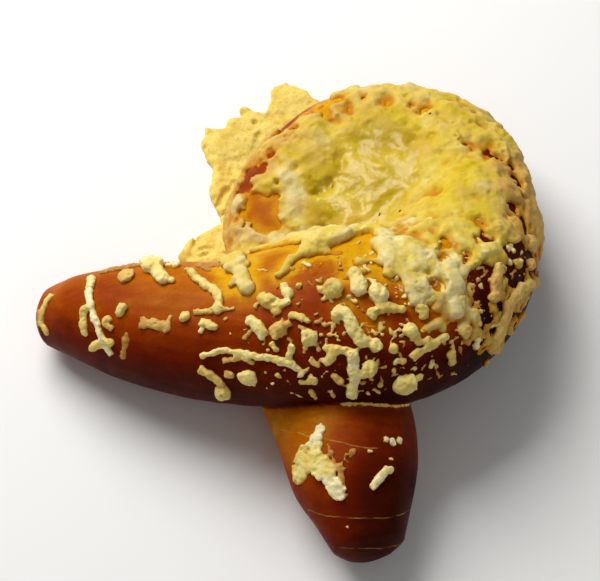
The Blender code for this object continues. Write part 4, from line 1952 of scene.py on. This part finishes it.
@dataclass
class Shreds:
    """The shreds and crumbs of cheese baked onto the crust."""

    low: tuple[float, float, float] = (-84, -92, 4)
    high: tuple[float, float, float] = (80, 30, 60)
    step: float = 0.4
    sink: float = 0.5
    crumb_count: int = 3300
    crumb_gap: float = 0.2
    # Middle and spread of the crumbs, along and around the belly, all over and at their thickest
    wide_crumbs: tuple[tuple[float, float], ...] = ((102, 16), (34, 24))
    dense_crumbs: tuple[tuple[float, float], ...] = ((106, 10), (38, 15))
    crumb_along: tuple[float, float] = (40, 138)
    crumb_around: tuple[float, float] = (-30, 80)
    back_end: float = 28
    seed: int = 5
    block: Block = field(init=False)
    distance: np.ndarray = field(init=False)

    def build(self, dough: Dough) -> bpy.types.Object:
        """Builds them as one piece.

        Args:
            dough: What they lie on.

        Returns:
            The dressed piece.
        """
        block = self.block = Block(self.low, self.high, self.step)
        crust = block.distance_to(dough.points, dough.faces, 4)
        laid = ShredLayer(block, dough.skin, 6, 0.3)
        draw = np.random.default_rng(self.seed)
        for rope, shreds in ((dough.belly, BELLY_SHREDS), (dough.tail, TAIL_SHREDS)):
            for shred in shreds:
                laid.lay(rope, shred, draw)
        self.scatter(laid, dough, draw)
        self.distance = laid.distance
        near = (laid.distance < 2.0) & (crust < 5)
        places = block.places(near)
        lumps = Lumps(self.seed)
        rough = 0.4 * lumps.rough(places, 2.2, 2) + 0.2 * (1 - 3 * np.abs(lumps.at(places, 1.1)))
        over = crust[near] - laid.heights[near]
        flat = -blended(-laid.distance[near], -over, 0.8)
        solid = block.full(6)
        solid[near] = np.maximum(flat - rough, -self.sink - crust[near])
        points, faces = block.surface(solid)
        height = block.sample(crust, points)
        toast = block.sample(laid.toasts, points) + 0.45 * (1 - ease(height / 0.8))
        toast += 0.16 * lumps.rough(points, 4, 2)
        made = mesh_object("baked_shreds", points, faces, toast=np.clip(toast, 0, 1))
        made.data.materials.append(BakedShred().material())
        return made

    def nearness(self, points: np.ndarray) -> np.ndarray:
        """How close a shred is to each point.

        Args:
            points: Places in mm, one a row.

        Returns:
            Nearness from 0 to 1.
        """
        inside = np.all(points > np.array(self.low), axis=1)
        inside &= points[:, 1] < self.back_end
        return inside * np.exp(-np.clip(self.block.sample(self.distance, points), 0, None) / 1.2)

    def scatter(self, layer: ShredLayer, dough: Dough, draw: np.random.Generator) -> None:
        """Scatters crumbs over the belly, most densely below the sheet's edge.

        Args:
            layer: What they are laid in, which changes.
            dough: Gives the belly's frame.
            draw: Random draws.
        """
        for index in range(self.crumb_count):
            along, around = (draw.normal(*spread) for spread in self.wide_crumbs)
            if index % 2:
                along, around = (draw.normal(*spread) for spread in self.dense_crumbs)
            radius = min(0.28 + 0.22 * draw.exponential(1.0), 1.2)
            length = draw.uniform(0.6, 3.6) if draw.random() < 0.5 else draw.uniform(0, 0.8)
            square = (draw.random() < 0.5, draw.random() < 0.5)
            heading, toast = draw.uniform(0, math.tau), draw.uniform(0.0, 0.8)
            (first, last), (low, high) = self.crumb_along, self.crumb_around
            if not first < along < last or not low < around < high:
                continue
            hit = layer.skin.seen_from(*dough.belly.ray(along, around))
            if hit is None:
                continue
            place, normal = hit
            gap = layer.block.sample(layer.distance, np.array([place]))[0]
            if gap < radius + self.crumb_gap:
                continue
            step = normal.orthogonal().normalized()
            step.rotate(Matrix.Rotation(heading, 3, normal))
            end, _ = layer.skin.nearest(place + step * length)
            rise = normal * radius * 0.3
            radii = (radius, radius * draw.uniform(0.6, 1.1))
            layer.add((place + rise, end + rise), radii, 0.3, toast, 1.5 * radius, square)


@dataclass
class HerbFlakes:
    """A few flakes of herb caught in the melted cheese."""

    places: tuple[tuple[float, float], ...] = (
        (26, 17),
        (32, 16),
        (42, 51),
        (54, 36),
        (12, 29),
    )
    half_length: float = 0.5
    margin: float = 2
    step: float = 0.12
    seed: int = 9

    def build(self, sheet: bpy.types.Object) -> bpy.types.Object:
        """Builds the flakes on the sheet.

        Args:
            sheet: The finished sheet.

        Returns:
            The dressed piece.
        """
        points, faces, _ = mesh_arrays(sheet.data)
        skin = Skin(points, faces)
        draw = np.random.default_rng(self.seed)
        all_points, all_faces, count = [], [], 0
        for x, y in self.places:
            place, normal = skin.seen_from(Vector((x, y, SKY)), Vector((0, 0, -1)))
            corner = Vector((self.margin,) * 3)
            block = Block(tuple(place - corner), tuple(place + corner), self.step)
            values = block.full(self.margin)
            along = Vector(draw.normal(0, 1, 3)).cross(normal).normalized()
            for _ in range(2):
                end = along * self.half_length * draw.uniform(0.4, 1.0)
                radii = (draw.uniform(0.16, 0.26), draw.uniform(0.12, 0.2))
                block.stamp(values, (place - end, place + end + normal * 0.1), radii, 0.1, ())
                along = (along + Vector(draw.normal(0, 0.4, 3))).normalized()
            own_points, own_faces = block.surface(values)
            all_points.append(own_points)
            all_faces.append(own_faces.astype(np.int64) + count)
            count += len(own_points)
        made = mesh_object("herb_flakes", np.concatenate(all_points), np.concatenate(all_faces))
        made.data.materials.append(DriedHerb().material())
        return made


@dataclass
class TraySpill:
    """Cheese that ran off the loop's far side and crisped on the tray."""

    low: tuple[float, float, float] = (-42, 0, -2)
    high: tuple[float, float, float] = (28, 94, 8)
    step: float = 0.6
    thickness: float = 2.7
    sink: float = 0.4
    edge_inset: float = 0.8
    edge_rounding: float = 2
    bank: float = 1.2
    bank_reach: float = 6
    bearings: tuple[int, int] = (98, 218)
    bearing_step: int = 2
    end_taper: float = 20
    inner_reach: float = 30
    reach: float = 51
    body: Swell = Swell(136, 44, 12)
    knobs: tuple[Swell, ...] = (
        Swell(118, 6, 5.5),
        Swell(123.5, 3, 3.5),
        Swell(130, 3, -2.5),
        Swell(133.5, 2.5, 3.5),
        Swell(140, 5, 3),
        Swell(145, 2.5, 5),
        Swell(150, 6.5, 7),
        Swell(191, 13, 14.5),
    )
    dimple_centre: tuple[float, float] = (-28.5, 21)
    dimple_radii: tuple[float, float] = (3.4, 1.7)
    dimple_depth: float = 1.3
    tongue_rise: float = 1.6
    seed: int = 23

    def outline(self, centre: tuple[float, float]) -> np.ndarray:
        """Follows the spill's outline in plan.

        Args:
            centre: The loop's middle in mm.

        Returns:
            The outline in mm, one point a row.
        """
        first, last = self.bearings
        outer, inner = [], []
        for bearing in range(first + self.bearing_step, last, self.bearing_step):
            reach = self.reach + sum(s.at(bearing) for s in (self.body, *self.knobs))
            from_end = min(bearing - first, last - bearing) / self.end_taper
            reach -= (reach - self.inner_reach) * max(0, 1 - from_end) ** 2
            turn = math.radians(bearing)
            for ring, radius in ((outer, reach), (inner, self.inner_reach)):
                ring.append(
                    (centre[0] + radius * math.cos(turn), centre[1] + radius * math.sin(turn))
                )
        return np.array(outer + inner[::-1])

    def build(self, dough: Dough, sheet: MeltedSheet) -> bpy.types.Object:
        """Builds the spill.

        Args:
            dough: What it ran off.
            sheet: Gives the loop's centre and the plan distances.

        Returns:
            The dressed piece.
        """
        block = Block(self.low, self.high, self.step)
        inset = sheet.inset(block, self.outline(sheet.loop_centre))
        crust = block.distance_to(dough.points, dough.faces, self.bank_reach)
        places = block.places()
        lumps = Lumps(self.seed)
        plan = places * np.array([1, 1, 0.3])
        relief = 0.9 * lumps.rough(plan, 7, 3) + 0.35 * lumps.at(plan, 1.6)
        pits = np.clip(lumps.at(plan + 31, 2.6) - 0.35, 0, None) * 2.6
        in_plan = np.broadcast_to(inset[:, :, None], block.shape).ravel()
        ragged = in_plan + 0.9 * lumps.rough(places, 4, 2)
        rise = self.bank * ease(1 - crust.ravel() / self.bank_reach) + self.tongue(places)
        top = places[:, 2] - (self.thickness + relief + rise - pits)
        side = self.edge_inset - ragged
        bend = self.edge_rounding
        in_bend = (top > -bend) & (side > -bend)
        round_edge = np.hypot(top + bend, side + bend) - bend
        solid = np.where(in_bend, round_edge, np.maximum(top, side))
        solid = np.maximum(solid, -places[:, 2]).reshape(block.shape)
        solid = np.maximum(solid, -self.sink - crust).astype(np.float32)
        points, faces = largest_body(*block.surface(solid))
        points[:, 2] = np.maximum(points[:, 2], 0.0)
        made = mesh_object("tray_spill", points, faces)
        made.data.materials.append(TrayCrisp().material())
        return made

    def tongue(self, places: np.ndarray) -> np.ndarray:
        """Extra height of the puffed tongue beside the arm, with an oval dimple in it.

        Args:
            places: Points in mm, one a row.

        Returns:
            One height for each point.
        """
        dx, dy = places[:, 0] - self.dimple_centre[0], places[:, 1] - self.dimple_centre[1]
        puffed = self.tongue_rise * np.exp(-((dx / 8) ** 2 + (dy / 5) ** 2))
        away = np.hypot(dx / self.dimple_radii[0], (dy - 0.25 * dx) / self.dimple_radii[1])
        groove = np.exp(-(((away - 0.8) / 0.42) ** 2))
        return puffed - self.dimple_depth * groove


@dataclass
class Studio:
    """A pale floor, soft lights and the camera."""

    target: tuple[float, float, float] = (2, -2, 18)
    distance: float = 650
    elevation: float = 58
    lens: float = 129
    floor_colour: str = "#F4F3F0"
    floor_reach: float = 1500

    def build(self) -> None:
        """Sets up everything round the object."""
        self.floor()
        self.camera()
        self.area_light("key_softbox", (-300, 400, 600), 560, 7.3)
        self.area_light("front_fill", (260, -520, 420), 600, 0.45)
        world = bpy.data.worlds.new("studio")
        world.use_nodes = True
        background = world.node_tree.nodes["Background"]
        background.inputs["Color"].default_value = linear("#FFFFFF")
        background.inputs["Strength"].default_value = 0.2
        bpy.context.scene.world = world
        bpy.context.scene.view_settings.view_transform = "Standard"

    def floor(self) -> None:
        """Lays a pale matt floor."""
        corners = np.array([(-1, -1, 0), (1, -1, 0), (1, 1, 0), (-1, 1, 0)]) * self.floor_reach
        made = mesh_object("floor", corners, np.array([[0, 1, 2, 3]]))
        paper = bpy.data.materials.new("matt_paper")
        paper.use_nodes = True
        surface = paper.node_tree.nodes["Principled BSDF"]
        surface.inputs["Base Color"].default_value = linear(self.floor_colour)
        surface.inputs["Roughness"].default_value = 0.9
        made.data.materials.append(paper)

    def camera(self) -> None:
        """Places the camera in front of the knot, looking down on it."""
        tilt = math.radians(self.elevation)
        back = Vector((0, -math.cos(tilt), math.sin(tilt)))
        data = bpy.data.cameras.new("camera")
        data.lens = self.lens
        made = new_object("camera", data)
        made.location = (Vector(self.target) + back * self.distance) * MM
        made.rotation_euler = (math.pi / 2 - tilt, 0, 0)
        bpy.context.scene.camera = made

    def area_light(
        self, name: str, place: tuple[float, float, float], size: float, power: float
    ) -> None:
        """Hangs a square softbox that faces the knot.

        Args:
            name: The light's name.
            place: Where it hangs, in mm.
            size: Its side, in mm.
            power: Its power in watts.
        """
        data = bpy.data.lights.new(name, "AREA")
        data.size = size * MM
        data.energy = power
        made = new_object(name, data)
        made.location = Vector(place) * MM
        aim = Vector(self.target) - Vector(place)
        made.rotation_mode = "QUATERNION"
        made.rotation_quaternion = aim.to_track_quat("-Z", "Y")


def fit_to_part(piece: bpy.types.Object, node: Node) -> None:
    """Puts a piece under the body's empty and hides the CAD solid that it stands for.

    Args:
        piece: The visible piece.
        node: Its solid, and the name of a material slot that is not used.
    """
    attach(piece, BODY)
    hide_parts(node.value[0])
    LOG.info("%s: %d faces", piece.name, len(piece.data.polygons))


def main() -> None:
    """Builds the knot in order and lights it."""
    logging.basicConfig(level=logging.INFO, format="%(name)s %(message)s")
    dough = Dough()
    sheet, shreds = MeltedSheet(), Shreds()
    melted = sheet.build(dough)
    fit_to_part(melted, Node.SHEET)
    fit_to_part(HerbFlakes().build(melted), Node.SHEET)
    fit_to_part(shreds.build(dough), Node.KNOT)
    crust = dough.build(sheet.nearness(dough.points), shreds.nearness(dough.points))
    fit_to_part(crust, Node.KNOT)
    fit_to_part(TraySpill().build(dough, sheet), Node.SPILL)
    Studio().build()


if __name__ == "__main__":
    main()
